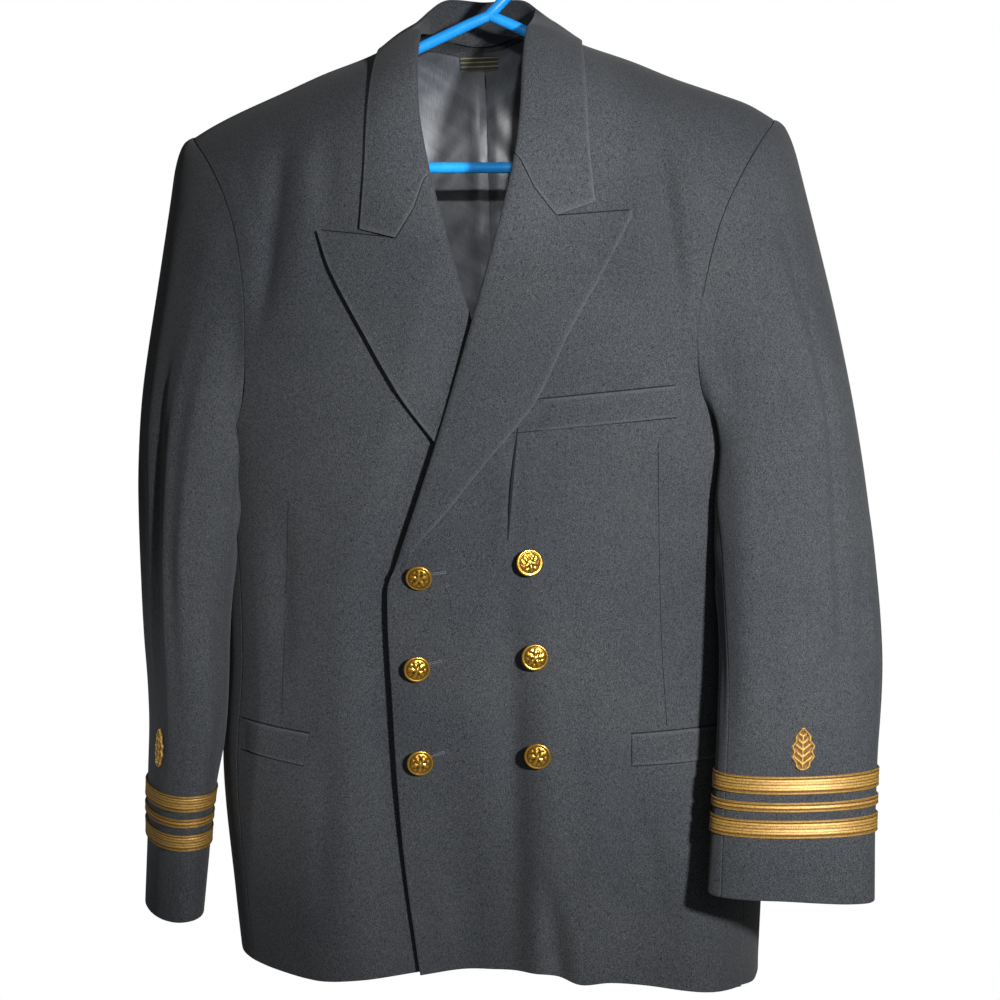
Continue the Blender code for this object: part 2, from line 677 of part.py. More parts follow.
def lapel(side, look):
    gorge = GORGE[side]
    grid = []
    for t in LAPEL_STEPS:
        roll_z = mix(BREAK_Z, gorge.roll_z - GORGE_GAP, t)
        roll_x = column(EDGE, side, roll_z)
        out_z = mix(BREAK_Z, gorge.peak_z, t)
        out_x = column(LAPEL_EDGE[side], "x", out_z)
        bend = t ** GORGE_PULL

        def place(share):
            start = roll_x + ROLL_SECTION[-1][0]
            x = mix(start, max(out_x, start + LAPEL_LEAST), share)
            z = mix(roll_z, out_z, share)
            end_x, end_z = gorge_point(gorge, gorge.peak_x, gorge.peak_z, share)
            top_x = mix(gorge.roll_x + ROLL_SECTION[-1][0], gorge.peak_x, share)
            top_z = mix(gorge.roll_z, gorge.peak_z, share)
            return x + bend * (end_x - top_x), z + bend * (end_z - top_z) - GORGE_GAP

        grid.append(rolled_row(side, roll_x, roll_z, place))
    normals = grid_normals(grid, flip=side == "right")
    return wall("lapel_" + side, grid, thick(grid, normals, FACING), look)


def neck_height(side, x):
    """Height of the back neck seam, from the centre out to the shoulder."""
    low = mix(NECK_Z - NECK_DIP, shoulder_side(side, NECK_RUN), smooth(x / NECK_RUN) ** 1.5)
    return min(low, shoulder_side(side, x))


def collar_half(side):
    """Rows of the collar from its tip round to the centre back."""
    gorge = GORGE[side]
    rows = []
    table = COLLAR_CHEST[side]
    for fold_z in (gorge.roll_z + GORGE_GAP, *CHEST_FOLDS):
        if rows and fold_z < gorge.roll_z + 0.010:
            continue
        fold_x = column(EDGE, side, fold_z)
        first = not rows

        def place(share):
            if first:
                x, z = gorge_point(gorge, gorge.tip_x, gorge.tip_z, share)
                return x, z + GORGE_GAP
            start = fold_x + ROLL_SECTION[-1][0]
            end_z = column(table, "edge_z", fold_z)
            return mix(start, column(table, "x", fold_z), share), mix(fold_z, end_z, share)

        rows.append(rolled_row(side, fold_x, fold_z, place))
    for station in COLLAR_BACK:
        sign = SIDES[side]
        neck_x = station.x * front_inner(side, NECK_Z) / NECK_RUN
        base = on_back(side, neck_x, neck_height(side, neck_x), -CLOTH)
        base.z += STAND_GAP
        rise = station.rise + STAND_MORE[side] * smooth(station.x / STAND_MORE_X)
        fold = base + Vector((sign * station.lean_x, station.lean_y, rise))
        edge_x = station.edge_x - LEAF_IN[side] * smooth(station.edge_x / LEAF_IN_X)
        edge_z = shoulder_side(side, edge_x) - station.edge_down
        edge = on_back(side, edge_x, edge_z, LAPEL_LIFT)
        stand = (fold - base).normalized()
        leaf = edge - fold
        away = (leaf - stand * leaf.dot(stand)).normalized()
        top = fold + away * FOLD_OUT[-1]
        row = [base, mix(base, fold, 0.5)]
        for out, up in zip(FOLD_OUT, FOLD_UP):
            row.append(fold + away * out + stand * up)
        for share in LEAF_SHARES:
            bulge = LEAF_BULGE * math.sin(math.pi * share)
            row.append(mix(top, edge, share) + stand * bulge)
        rows.append(row)
    return rows


def spline_rows(rows, places):
    """Rows at the given places, on smooth curves through the given ones."""
    keys = list(range(len(rows)))
    made = []
    for at in places:
        line = []
        for j in range(len(rows[0])):
            line.append(Vector([curve(keys, [row[j][k] for row in rows], at) for k in range(3)]))
        made.append(line)
    return made


def collar(look):
    left = collar_half("left")
    right = collar_half("right")
    rows = left + right[-2::-1]
    middle = len(left) - 1
    near = len(COLLAR_BACK)
    places = []
    for i in range(len(rows)):
        places.append(i)
        if middle - near <= i < middle + near:
            places.append(i + 0.5)
    grid = spline_rows(rows, places)
    normals = grid_normals(grid)
    return wall("collar", grid, thick(grid, normals, FACING), look)


# Sleeves

def sleeve_ring(side, z, turn):
    """Point of a sleeve's plain oval; turn 0 is straight out, 90 is the front."""
    rows = SLEEVE[side]
    tilt = column(rows, "turn", z)
    a = math.radians(turn + tilt)
    along = column(rows, "wide", z) * signed_power(math.cos(a), 2 / SLEEVE_POWER)
    across = column(rows, "deep", z) * signed_power(math.sin(a), 2 / SLEEVE_POWER)
    t = math.radians(tilt)
    x = column(rows, "x", z) + along * math.cos(t) + across * math.sin(t)
    y = column(rows, "y", z) + along * math.sin(t) - across * math.cos(t)
    return clear_of_body(Vector((x, y, z)))


def clear_of_body(p):
    """Moves a sleeve's point out until it is just clear of the body."""
    clear = SLEEVE_CLEAR * smooth((ARMPIT_Z - p.z) / CLEAR_RUN + CLEAR_START) + BODY_CLEAR
    half = column(TORSO, "half", p.z) + clear
    depth = column(TORSO, "front" if p.y < 0 else "back", p.z) + clear
    reach = (abs(p.x) / half) ** BODY_POWER + (abs(p.y) / depth) ** BODY_POWER
    if reach >= 1.0:
        return p
    grow = reach ** (-1 / BODY_POWER)
    return Vector((p.x * grow, p.y * grow, p.z))


def own_body(side, angle, z):
    """Body point and normal in the side's own frame, with x towards the side."""
    sign = SIDES[side]
    point = body_point(sign * angle, z)
    normal = body_normal(sign * angle, z)
    point.x *= sign
    normal.x *= sign
    return point, normal


def hole_places(side, hole, to_angle):
    """Angle and height of each armhole point; the last lies on the shoulder."""
    places = [(to_angle(h.x, h.z), h.z) for h in hole[:-1]]
    top = hole[-1].x
    top_z = shoulder_side(side, top)
    return places + [(to_angle(top, top_z), top_z)]


def armhole_loop(side):
    """Points of an armhole from the shoulder down the front and up the back."""
    front = hole_places(side, ARMHOLE_FRONT[side], front_angle)
    back = hole_places(side, ARMHOLE_BACK, lambda x, z: 180.0 - front_angle(x, z))
    first = front_angle(seam_x(ARMPIT_Z) + SEAM, ARMPIT_Z)
    under = [(a, ARMPIT_Z) for a in steps(first, 180.0 - first, SIDE_STEPS)]
    return [own_body(side, a, z) for a, z in front[::-1] + under + back[:-1]]


def ring_turns(loop):
    """Turn of each sleeve line: half a turn down the front, half up the back."""
    points = [p for p, _ in loop]
    low = len(points) // 2
    turns = []
    for part, start in ((points[:low + 1], 0.0), (points[low:] + points[:1], 180.0)):
        lengths = [0.0]
        for a, b in zip(part, part[1:]):
            lengths.append(lengths[-1] + (b - a).length)
        turns += [start + 180.0 * at / lengths[-1] for at in lengths[:-1]]
    return turns


def cap_line(side, loop, k, turn):
    """Four control points of one sleeve line from the armhole to the arm."""
    start, normal = loop[k]
    edge = loop[(k + 1) % len(loop)][0] - loop[k - 1][0]
    flat = edge.cross(normal).normalized()
    if flat.x < 0 or (abs(flat.x) < 0.3 and flat.z < 0):
        flat = -flat
    lower = smooth((UNDER_Z - start.z) / UNDER_RUN)
    under = (normal - Vector((0, 0, UNDER_PITCH))).normalized()
    away = mix(flat, under, lower).normalized()
    end = sleeve_ring(side, SLEEVE_TOP_Z, turn)
    run = (sleeve_ring(side, SLEEVE_TOP_Z - 0.03, turn) - end).normalized()
    first = start + away * HOLE_GAP
    roll = CAP_ROLL * (1 - 0.35 * lower)
    length = (end - start).length
    return first, start + away * roll, end - run * length * CAP_DROP, end


def sleeve_heights(side):
    """Heights of the rings below the cap, closer at the lace."""
    cuff = SLEEVE[side][0].z
    low = cuff + LACE_UP[side]
    high = low + 2 * WIDE_LACE + NARROW_LACE + 2 * LACE_GAP
    return steps(SLEEVE_TOP_Z, high + 8 * MM, 8) + [mix(low, high, 0.5), low - 2 * MM, cuff]


def sleeve_grid(side):
    """Closed rings of a sleeve in its own frame, armhole first, cuff last."""
    loop = armhole_loop(side)
    turns = ring_turns(loop)
    lines = [cap_line(side, loop, k, turn) for k, turn in enumerate(turns)]
    rows = []
    for t in CAP_STEPS:
        u = 1 - t
        rope = ROPE_SHARE[side] * column(ROPE, "out", t, "t")
        ring = []
        for a, b, c, d in lines:
            p = a * u ** 3 + b * 3 * u * u * t + c * 3 * u * t * t + d * t ** 3
            p += Vector((1, 0, ROPE_RISE)) * rope * smooth((a.z - ROPE_Z) / ROPE_RUN)
            ring.append(clear_of_body(p) if t and p.z < ARMPIT_Z else p)
        rows.append(ring)
    rows += [[sleeve_ring(side, z, turn) for turn in turns] for z in sleeve_heights(side)]
    for p, turn in zip(rows[-1], turns):
        p.z -= CUFF_SLANT[side] * max(math.cos(math.radians(turn)), 0.0)
    normals = grid_normals(rows, looped=True)
    folded = []
    for row, line in zip(rows, normals):
        folded.append([p + n * fold_height(SLEEVE_FOLDS[side], turn, p.z)
                       for p, n, turn in zip(row, line, turns)])
    return folded, turns


def to_world(side, p):
    return Vector((SIDES[side] * p.x + JACKET_X, p.y, p.z))


def sleeve_pieces(side, look):
    """Top sleeve over the outside of the arm, under sleeve along the body."""
    grid, turns = sleeve_grid(side)
    normals = grid_normals(grid, looped=True)
    inner = thick(grid, normals, CLOTH)
    around = len(turns)
    spans = {
        "top_sleeve_": [k % around for k in range(SEAM_BACK, SEAM_FRONT + around + 1)],
        "under_sleeve_": list(range(SEAM_FRONT, SEAM_BACK + 1)),
    }
    for name, picks in spans.items():
        grids = ([], [])
        for row, inner_row in zip(grid, inner):
            line = [row[k] for k in picks]
            inner_line = [inner_row[k] for k in picks]
            for end, beside in ((0, 1), (-1, -2)):
                shift = (line[beside] - line[end]).normalized() * ARM_SEAM
                line[end] = line[end] + shift
                inner_line[end] = inner_line[end] + shift
            grids[0].append([to_world(side, p) for p in line])
            grids[1].append([to_world(side, p) for p in inner_line])
        wall(name + side, *grids, look)


def cuff_point(side, z, turn, lift):
    """Point on the lower sleeve, moved out by a lift."""
    p = sleeve_ring(side, z, turn)
    around = sleeve_ring(side, z, turn + 1) - sleeve_ring(side, z, turn - 1)
    up = sleeve_ring(side, z + MM, turn) - sleeve_ring(side, z - MM, turn)
    normal = up.cross(around).normalized()
    if normal.dot(p - sleeve_centre(side, z)) < 0:
        normal = -normal
    return to_world(side, p + normal * lift)


def sleeve_centre(side, z):
    rows = SLEEVE[side]
    return Vector((column(rows, "x", z), column(rows, "y", z), z))


def lace(side, look):
    """Three rows of cuff lace, all round the sleeve."""
    low = SLEEVE[side][0].z + LACE_UP[side]
    turns = ring_turns(armhole_loop(side))
    for number, width in enumerate((WIDE_LACE, NARROW_LACE, WIDE_LACE), start=1):
        heights = (low, low + 0.5 * width, low + width)
        lifts = (LACE_SEAT + 0.6 * LACE_THICK, LACE_SEAT + LACE_THICK, LACE_SEAT + 0.6 * LACE_THICK)
        outer = [[cuff_point(side, z, a, lift) for a in turns] for z, lift in zip(heights, lifts)]
        inner = [[cuff_point(side, z, a, LACE_SEAT) for a in turns] for z in heights]
        wall("lace_%s_%d" % (side, number), outer, inner, look, looped=True)
        low += width + LACE_GAP


def leaf_half_width(t):
    """Half width of the leaf along its length, with three shallow lobes."""
    body = math.sin(math.pi * min(max(t, 0.02), 0.98)) ** 0.7
    return 0.5 * LEAF_WIDE * body * (1 + 0.10 * math.cos(6 * math.pi * t))


def leaf(side, look):
    """Plain leaf worked in metal thread above the lace."""
    low = SLEEVE[side][0].z + LACE_UP[side] + 2 * WIDE_LACE + NARROW_LACE + 2 * LACE_GAP + LEAF_UP[side]
    rows = SLEEVE[side]
    outer = []
    inner = []
    for t in steps(0.0, 1.0, 10):
        z = low + LEAF_LONG * t
        half = leaf_half_width(t)
        a = math.radians(LEAF_TURN[side] + column(rows, "turn", z))
        speed = math.hypot(column(rows, "wide", z) * math.sin(a),
                           column(rows, "deep", z) * math.cos(a))
        line = []
        under = []
        for share in (-1.0, -0.55, 0.0, 0.55, 1.0):
            turn = LEAF_TURN[side] - math.degrees(share * half / speed)
            high = LACE_SEAT + LEAF_HIGH * (1 - 0.55 * abs(share))
            line.append(cuff_point(side, z, turn, high))
            under.append(cuff_point(side, z, turn, LACE_SEAT))
        outer.append(line)
        inner.append(under)
    return wall("leaf_" + side, outer, inner, look)


# Pockets, lining and label

def welt(name, side, sizes, look):
    outer = []
    inner = []
    for v in (0.0, 0.12, 0.88, 1.0):
        line = []
        under = []
        for u in steps(0.0, 1.0, 8):
            x = mix(mix(sizes.x0, sizes.x1, u), mix(sizes.x3, sizes.x2, u), v)
            z = mix(mix(sizes.z0, sizes.z1, u), mix(sizes.z3, sizes.z2, u), v)
            rim = 0.45 if v in (0.0, 1.0) else 1.0
            line.append(on_front(side, x, z, WELT_GAP + (WELT_LIFT - WELT_GAP) * rim))
            under.append(on_front(side, x, z, WELT_GAP))
        outer.append(line)
        inner.append(under)
    return wall(name, outer, inner, look)


def lining_back(side, look):
    """Lining of one back half, inside the cloth, with a free lower edge."""
    lines = [line[:-1] for line in back_lines(side, BACK_SHARES)[1:-1]]
    depth = CLOTH + LINING_GAP
    outer = [[on_back(side, x, z, -depth) for x, z in line] for line in lines]
    inner = [[on_back(side, x, z, -depth - LINING) for x, z in line] for line in lines]
    return wall("lining_back_" + side, outer, inner, look)


def label(look):
    """Blank woven label inside the back neck."""
    base = -CLOTH - LINING_GAP - LINING - LABEL_GAP
    outer = []
    inner = []
    for z in steps(LABEL_Z[0], LABEL_Z[1], 3):
        angles = [back_angle(x, z) for x in steps(LABEL_X[0], LABEL_X[1], 5)]
        outer.append([skin(a, z, base) for a in angles])
        inner.append([skin(a, z, base - LABEL_THICK) for a in angles])
    return wall("label", outer, inner, look)


# Buttons and hanger

def screw(name, profile, sides, look):
    """Turned solid from a profile of radius and height, as a plain mesh."""
    mesh = bpy.data.meshes.new(name + "_profile")
    mesh.from_pydata([(r, 0, h) for r, h in profile], [(i, i + 1) for i in range(len(profile) - 1)],
                     [])
    guide = bpy.data.objects.new(name + "_profile", mesh)
    bpy.context.scene.collection.objects.link(guide)
    turned = guide.modifiers.new("turn", "SCREW")
    turned.steps = sides
    turned.render_steps = sides
    turned.use_merge_vertices = True
    turned.merge_threshold = 0.00001
    bpy.context.view_layer.update()
    made = bpy.data.meshes.new_from_object(guide.evaluated_get(bpy.context.evaluated_depsgraph_get()))
    bpy.data.objects.remove(guide)
    bpy.data.meshes.remove(mesh)
    made.name = name
    made.materials.clear()
    made.materials.append(look)
    return made


def button_mesh(look):
    """Domed button with a rim, a raised flower and a shank at the back."""
    r = BUTTON_WIDE / 2
    profile = [
        (0.0, 7.6 * MM), (0.16 * r, 7.6 * MM), (0.42 * r, 7.3 * MM), (0.68 * r, 6.6 * MM),
        (0.80 * r, 6.0 * MM), (0.86 * r, 6.2 * MM), (0.95 * r, 5.9 * MM), (r, 5.0 * MM),
        (0.92 * r, 4.0 * MM), (0.24 * r, 3.4 * MM), (0.24 * r, 0.2 * MM), (0.0, 0.2 * MM),
    ]
    mesh = screw("button", profile, BUTTON_SIDES, look)
    for vertex in mesh.vertices:
        x, y, z = vertex.co
        radius = math.hypot(x, y)
        if 0.3 * r < radius < 0.5 * r and z > 7.0 * MM:
            vertex.co.z += PETAL_HIGH * math.cos(PETALS * math.atan2(y, x))
    return mesh


def place_buttons(look):
    mesh = button_mesh(look)
    for number, row in enumerate(BUTTONS, start=1):
        angle = front_angle(row.x, row.z)
        seat = skin(angle, row.z)
        normal = (body_normal(angle, row.z) + BUTTON_FACE).normalized()
        made = bpy.data.objects.new("button_%d" % number, mesh.copy())
        made.data.materials[0] = look.copy()
        made.rotation_euler = normal.to_track_quat("Z", "Y").to_euler()
        made.location = seat + normal * BUTTON_SEAT
        bpy.data.collections[COLLECTION].objects.link(made)
    bpy.data.meshes.remove(mesh)


def tube(name, points, closed):
    """Round tube along a path, as a mesh with welded caps."""
    data = bpy.data.curves.new(name, "CURVE")
    data.dimensions = "3D"
    data.bevel_depth = TUBE
    data.bevel_resolution = 2
    data.use_fill_caps = True
    spline = data.splines.new("POLY")
    spline.points.add(len(points) - 1)
    for slot, p in zip(spline.points, points):
        slot.co = (*p, 1.0)
    spline.use_cyclic_u = closed
    guide = bpy.data.objects.new(name, data)
    bpy.context.scene.collection.objects.link(guide)
    bpy.context.view_layer.update()
    mesh = bpy.data.meshes.new_from_object(guide.evaluated_get(bpy.context.evaluated_depsgraph_get()))
    bpy.data.objects.remove(guide)
    work = bmesh.new()
    work.from_mesh(mesh)
    bmesh.ops.remove_doubles(work, verts=work.verts, dist=0.00001)
    bmesh.ops.recalc_face_normals(work, faces=work.faces)
    work.to_mesh(mesh)
    work.free()
    made = bpy.data.objects.new(name, mesh)
    bpy.data.collections[COLLECTION].objects.link(made)
    return made


def hanger_frame():
    """Two sloping arms, a round turn at each end and the level bar."""
    end_z = APEX_Z - ARM_SLOPE * ARM_HALF
    radius = 0.5 * (end_z - BAR_Z) / math.cos(0.5 * math.atan(ARM_SLOPE))
    slope = math.atan(ARM_SLOPE)
    centre_x = ARM_HALF
    centre_z = BAR_Z + radius
    right = [Vector((0, 0, APEX_Z))]
    start = 90.0 - math.degrees(slope)
    for a in steps(start, -90.0, 8):
        turn = math.radians(a)
        right.append(Vector((centre_x + radius * math.cos(turn), 0,
                             centre_z + radius * math.sin(turn))))
    left = [Vector((-p.x, 0, p.z)) for p in right[:0:-1]]
    return right + left


def hook_path():
    """From the apex up to the right, then round over the rail."""
    centre = Vector((0, 0, TUBE - HOOK_RADIUS))
    reach = centre.z - APEX_Z
    lean = math.asin(HOOK_RADIUS / reach)
    path = [Vector((0, 0, APEX_Z))]
    for a in steps(-math.degrees(lean), HOOK_END, 16):
        turn = math.radians(a)
        path.append(centre + Vector((math.cos(turn), 0, math.sin(turn))) * HOOK_RADIUS)
    return path


def hanger(look):
    frame = tube("hanger", hanger_frame(), True)
    apex = Matrix.Translation((0, 0, APEX_Z))
    frame.data.transform(apex @ Matrix.Rotation(TILT, 4, "Y") @ apex.inverted())
    hook = tube("hook_cutter", hook_path(), False)
    bpy.data.collections[COLLECTION].objects.unlink(hook)
    bpy.data.collections["cutters"].objects.link(hook)
    hook.hide_render = True
    hook.display_type = "WIRE"
    join = frame.modifiers.new("hook", "BOOLEAN")
    join.operation = "UNION"
    join.solver = "EXACT"
    join.object = hook
    frame.data.materials.append(look.copy())


def main():
    for old in list(bpy.data.objects):
        bpy.data.objects.remove(old)
    for name in (COLLECTION, "cutters"):
        bpy.context.scene.collection.children.link(bpy.data.collections.new(name))
    wool = material("wool", (0.028, 0.032, 0.040), 0.85)
    satin = material("satin", (0.075, 0.078, 0.085), 0.40)
    gold = material("brass", (0.62, 0.42, 0.12), 0.30, 1.0)
    thread = material("gold_lace", (0.58, 0.40, 0.13), 0.45, 0.6)
    plastic = material("blue_plastic", (0.015, 0.33, 0.85), 0.35)
    woven = material("label", (0.020, 0.022, 0.026), 0.70)
    for side in SIDES:
        front_panel(side, wool)
        back_panel(side, wool)
        side_panel(side, wool)
        lapel(side, wool)
        sleeve_pieces(side, wool)
        lace(side, thread)
        leaf(side, thread)
        welt("hip_welt_" + side, side, HIP_WELT[side], wool)
        lining_back(side, satin)
    collar(wool)
    welt("breast_welt", "left", BREAST_WELT, wool)
    label(woven)
    place_buttons(gold)
    hanger(plastic)


main()
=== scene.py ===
"""Looks of the double-breasted dress jacket on its hanger.

Each cloth piece is a closed thin wall with rounded edges, laid on the same body
skin and sleeve ovals as the solids but with many more points and finer folds.
Metres, +Z up, +X to the wearer's left, -Y to the front. A side's own x runs from
the middle of the body to that side.
"""
import math

import bpy
import numpy as np
from mathutils import Matrix, Vector


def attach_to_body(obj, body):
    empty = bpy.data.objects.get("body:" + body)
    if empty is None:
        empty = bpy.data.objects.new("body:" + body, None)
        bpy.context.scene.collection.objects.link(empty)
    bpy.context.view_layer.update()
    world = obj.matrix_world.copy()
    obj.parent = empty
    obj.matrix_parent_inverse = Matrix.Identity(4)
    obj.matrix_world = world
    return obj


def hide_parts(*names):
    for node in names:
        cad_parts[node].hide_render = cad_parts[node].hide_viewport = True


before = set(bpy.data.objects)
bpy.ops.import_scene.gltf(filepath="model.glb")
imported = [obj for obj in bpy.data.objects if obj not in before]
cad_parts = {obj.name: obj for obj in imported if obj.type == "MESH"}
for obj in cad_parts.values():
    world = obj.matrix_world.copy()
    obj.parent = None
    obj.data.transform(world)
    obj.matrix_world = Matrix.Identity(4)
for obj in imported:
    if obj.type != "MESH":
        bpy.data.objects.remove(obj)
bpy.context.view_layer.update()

MM = 0.001
OVAL = (MM, MM, MM, MM, MM, 1.0)
TURNED = (1.0, MM, 1.0, MM, 1.0, MM, 1.0)


def table(units, *rows):
    """Rows of numbers in millimetres, or in the units of their columns."""
    return np.array(rows) * units


# Cloth and the body skin, shared with the solids
CLOTH = 2.2 * MM
FACING = 2.0 * MM
LINING = 1.0 * MM
ROUND = 1.0 * MM          # radius of a turned cloth edge
EDGE_STEPS = (0.0, 0.35 * MM, 0.8 * MM, 1.4 * MM)     # rows of points close to a rounded edge
EDGE_WEAR_AND_HIGHLIGHT = 3.4 * MM      # how far in from its edge cloth is lighter, partly from abrasion and partly a painted highlight
JACKET_X = -12.0 * MM
HEM_Z = -0.886
HEM_RISE = 0.036          # height over which the hem's drop dies out
BREAK_Z = -0.560
ARMPIT_Z = -0.430
NECK_Z = -0.078
NECK_RUN = 0.050
NECK_DIP = 4.0 * MM
RIDGE_Y = 14.0 * MM
SHOULDER_ROLL = 0.100
BODY_POWER = 2.4
SIDE_SHARE = 0.90         # where the side seam stands, as a share of the half width
SEAM = 0.02 * MM
SHOULDER_GAP = 0.05 * MM
TUCK = 10.0 * MM          # how deep the under front lies below the top one
TUCK_START = 48.0 * MM
TUCK_RUN = 44.0 * MM
FOLD_WRAP = 4.2 * MM
WRAP_LATE = 15.0 * MM     # how far above the break the front's edge slips under the roll
WRAP_RUN = 20.0 * MM
SIDES = {"left": 1.0, "right": -1.0}
# z, half width, front depth, back depth
TORSO = table(MM, (-900, 230, 115, 82), (-840, 235, 114, 86), (-720, 243, 110, 90), (-620, 236, 101, 84),
    (-500, 238, 101, 86), (-430, 246, 103, 92), (-300, 274, 100, 90), (-200, 285, 94, 80),
    (-80, 285, 90, 78))
# distance from the centre, shoulder height on the wearer's left and right
SHOULDER = table(MM, (0, -58, -58), (50, -73.5, -74.5), (87.5, -92.5, -94.5), (135, -110.8, -110.5),
    (170, -126.2, -124), (210, -141.2, -139), (235, -151.2, -149.5), (258, -165.5, -161))
# angle round the body, drop of the hem
HEM = table((1.0, MM), (-180, 0), (-90, 0), (-34, 4), (-19, 0), (-7, -1), (5, -4), (9.5, -5), (16.5, 2),
    (23, 1), (30, 3), (38, 5.5), (47, 8.5), (61, 14), (75, 21), (95, 17), (135, 4), (180, 0))
# z, front edge or roll line of the left and the right front
EDGE = table(MM, (-890, -54, -54), (-786, -64.6, -64), (-667, -71.7, -70), (-560, -74.5, -74),
    (-534.5, -65.6, -66), (-433.8, -29.1, -33), (-334.6, 2.8, -1.2), (-248.8, 28.1, 21.4),
    (-204.2, 39, 31.6), (-163.7, 44.8, 38), (-123.3, 46.5, 40.5), (-75, 48, 43))
EDGE_COLUMN = {"left": 1, "right": 2}
# armhole seam from the bottom up: own x, z
ARMHOLE_FRONT = {
    "left": table(MM, (204, -420), (190, -392), (186.8, -355), (193, -312), (206, -262), (223, -224),
        (242, -190.5), (253, -173.5), (256.2, -164.5)),
    "right": table(MM, (208, -420), (198.5, -392), (195.2, -352), (194.8, -310), (199.2, -262), (211, -222),
        (230, -190), (249, -169), (256.2, -160)),
}
ARMHOLE_BACK = table(MM, (213, -420), (204, -390), (203, -350), (206.5, -308), (214, -264), (224, -228),
    (239, -195), (252, -174), (256.2, -164.5))

# Lapels: outer edge from the break to the peak, and the gorge seam's roll, notch, peak and collar tip
LAPEL_EDGE = {
    "left": table(MM, (-74, -559), (-64.3, -547), (-47.8, -521.7), (-26.4, -498.8), (7.6, -458.3),
        (41.3, -420), (57, -399), (83.5, -345.4), (108.5, -302.8), (134.5, -254.5)),
    "right": table(MM, (-73.5, -559), (-64, -550), (-40, -524), (-5, -482), (30.4, -435.8), (58, -395.6),
        (87.4, -342.6), (114.5, -290), (124, -259.8)),
}
GORGE = {
    "left": table(MM, (38.5, -206.5), (73.5, -253), (134.5, -250), (105.2, -242.5)),
    "right": table(MM, (28.5, -220), (59, -267), (124, -258), (89.3, -258.5)),
}
GORGE_GAP = 0.5 * MM
COLLAR_IN = 0.4 * GORGE_GAP
ROLL_RISE = 0.9           # how steeply the gorge seam runs on over the roll
# sections of the rolled edge, own x from the front's edge and lift: the collar's, and a finer one
LAPEL_LIFT = 3.9 * MM
ROLL_SECTION = table(MM, (0, -2.2), (0, -0.8), (0.5, 1.4), (2.4, 3.1), (6.5, 3.9))
ROLL_FINE = table(MM, (0.4, -2.2), (0.12, -1.6), (0, -0.8), (0.04, 0), (0.18, 0.8), (0.5, 1.5), (1, 2.2),
    (1.7, 2.75), (2.6, 3.2), (3.8, 3.55), (5, 3.8), (6.5, 3.95))
LAPEL_ROWS = np.concatenate([(0.035, 0.036, 0.0375, 0.04), np.linspace(0.044, 0.994, 130),
                             (0.9965, 0.998, 0.9992, 1.0)])
LEAF_COLUMNS = 16         # even columns to each side of the notch
LAPEL_BELLY = 1.5 * MM
LAPEL_FINE = 0.3          # share of the fine folds that a lapel takes on
FOOT_LIFT = -0.3 * MM     # the lapel's foot is sunk in the front, over this share of its length
FOOT_RUN = 0.075
FOOT_IN = 0.3 * MM
EDGE_STAND = {"left": 0.6 * MM, "right": 3.8 * MM}    # how far a lapel's edge stands off the chest
STAND_FROM, STAND_RUN = 0.10, 0.30
WEAR_HIGHLIGHT_FROM, WEAR_HIGHLIGHT_RUN = 0.06, 0.12      # where up the lapel its edge starts to be lighter, from abrasion and a painted highlight

# Collar: fold height, own x and height of the leaf's edge on the chest
COLLAR_CHEST = {
    "left": table(MM, (-206.5, 104, -233), (-180, 101.2, -200), (-145, 99, -160), (-115, 96.2, -127),
        (-88, 92, -99)),
    "right": table(MM, (-220, 88.2, -248), (-180, 84.5, -206), (-145, 81.8, -164), (-115, 80, -131),
        (-88, 79, -103)),
}
# place on the neck seam, rise, lean outwards and back, leaf edge and its drop
COLLAR_BACK = table(MM, (47.8, 10, 0, -6, 88, 0), (44, 18.5, 3, 0, 86, 6.5), (27, 37, 5, 10, 56, 24),
    (0, 42.5, 0, 13, 0, 33))
CHEST_TOP = -0.088
CHEST_ROWS = 26
PULL_RUN = 16.0 * MM      # height over which the collar's end follows the gorge seam
CHEST_BULGE = 0.9 * MM
STAND_GAP = 2.0 * MM
STAND_MORE = {"left": -1.5 * MM, "right": 3.0 * MM}
STAND_MORE_X = 0.030
LEAF_IN = {"left": 0.0, "right": 5.0 * MM}
LEAF_IN_X = 0.088
FOLD_OUT = (0.0, 1.2 * MM, 3.0 * MM)
FOLD_UP = (-2.5 * MM, 0.4 * MM, 0.6 * MM)
LEAF_BULGE = 4.0 * MM
LEAF_SHARES = (0.25, 0.5, 0.75, 1.0)
COLLAR_COLUMNS = np.concatenate([
    (0.0, 0.15, 0.4), np.linspace(0.8, 7.6, 48), (7.75, 7.87, 7.945, 7.98, 8.0)])

# Sleeve ovals: z, x, y, half length, half depth, turn of the long way in degrees
SLEEVE = {
    "left": table(OVAL, (-450, 255.5, -32, 66, 64, 20), (-530, 264, -58, 68, 50, 22),
        (-620, 267, -86, 67.5, 41.5, 16), (-700, 260, -114, 65.5, 34, 8), (-760, 254.5, -136, 65, 27, 2),
        (-796, 252, -147, 65.5, 23.5, 0))[::-1],
    "right": table(OVAL, (-450, 250, -32, 69, 50, 58), (-510, 257, -48, 70, 41, 62),
        (-585, 258, -62, 70, 36, 64), (-670, 257, -74, 68, 30, 62), (-740, 264, -80, 60, 25.9, 62),
        (-790, 266.3, -84, 55, 24.1, 62), (-832, 270.4, -86, 52, 22.8, 61))[::-1],
}
SLEEVE_TOP_Z = -0.450
SLEEVE_POWER = 2.15
SLEEVE_CLEAR = 6.5 * MM
BODY_CLEAR = 0.9 * MM
CLEAR_RUN = 0.024
CLEAR_START = 0.33
CAP_ROLL = 20.0 * MM
HOLE_GAP = -0.3 * MM
CAP_DROP = 0.34
CAP_STEPS = (0.0, 0.05, 0.12, 0.22, 0.34, 0.50, 0.67, 0.84)
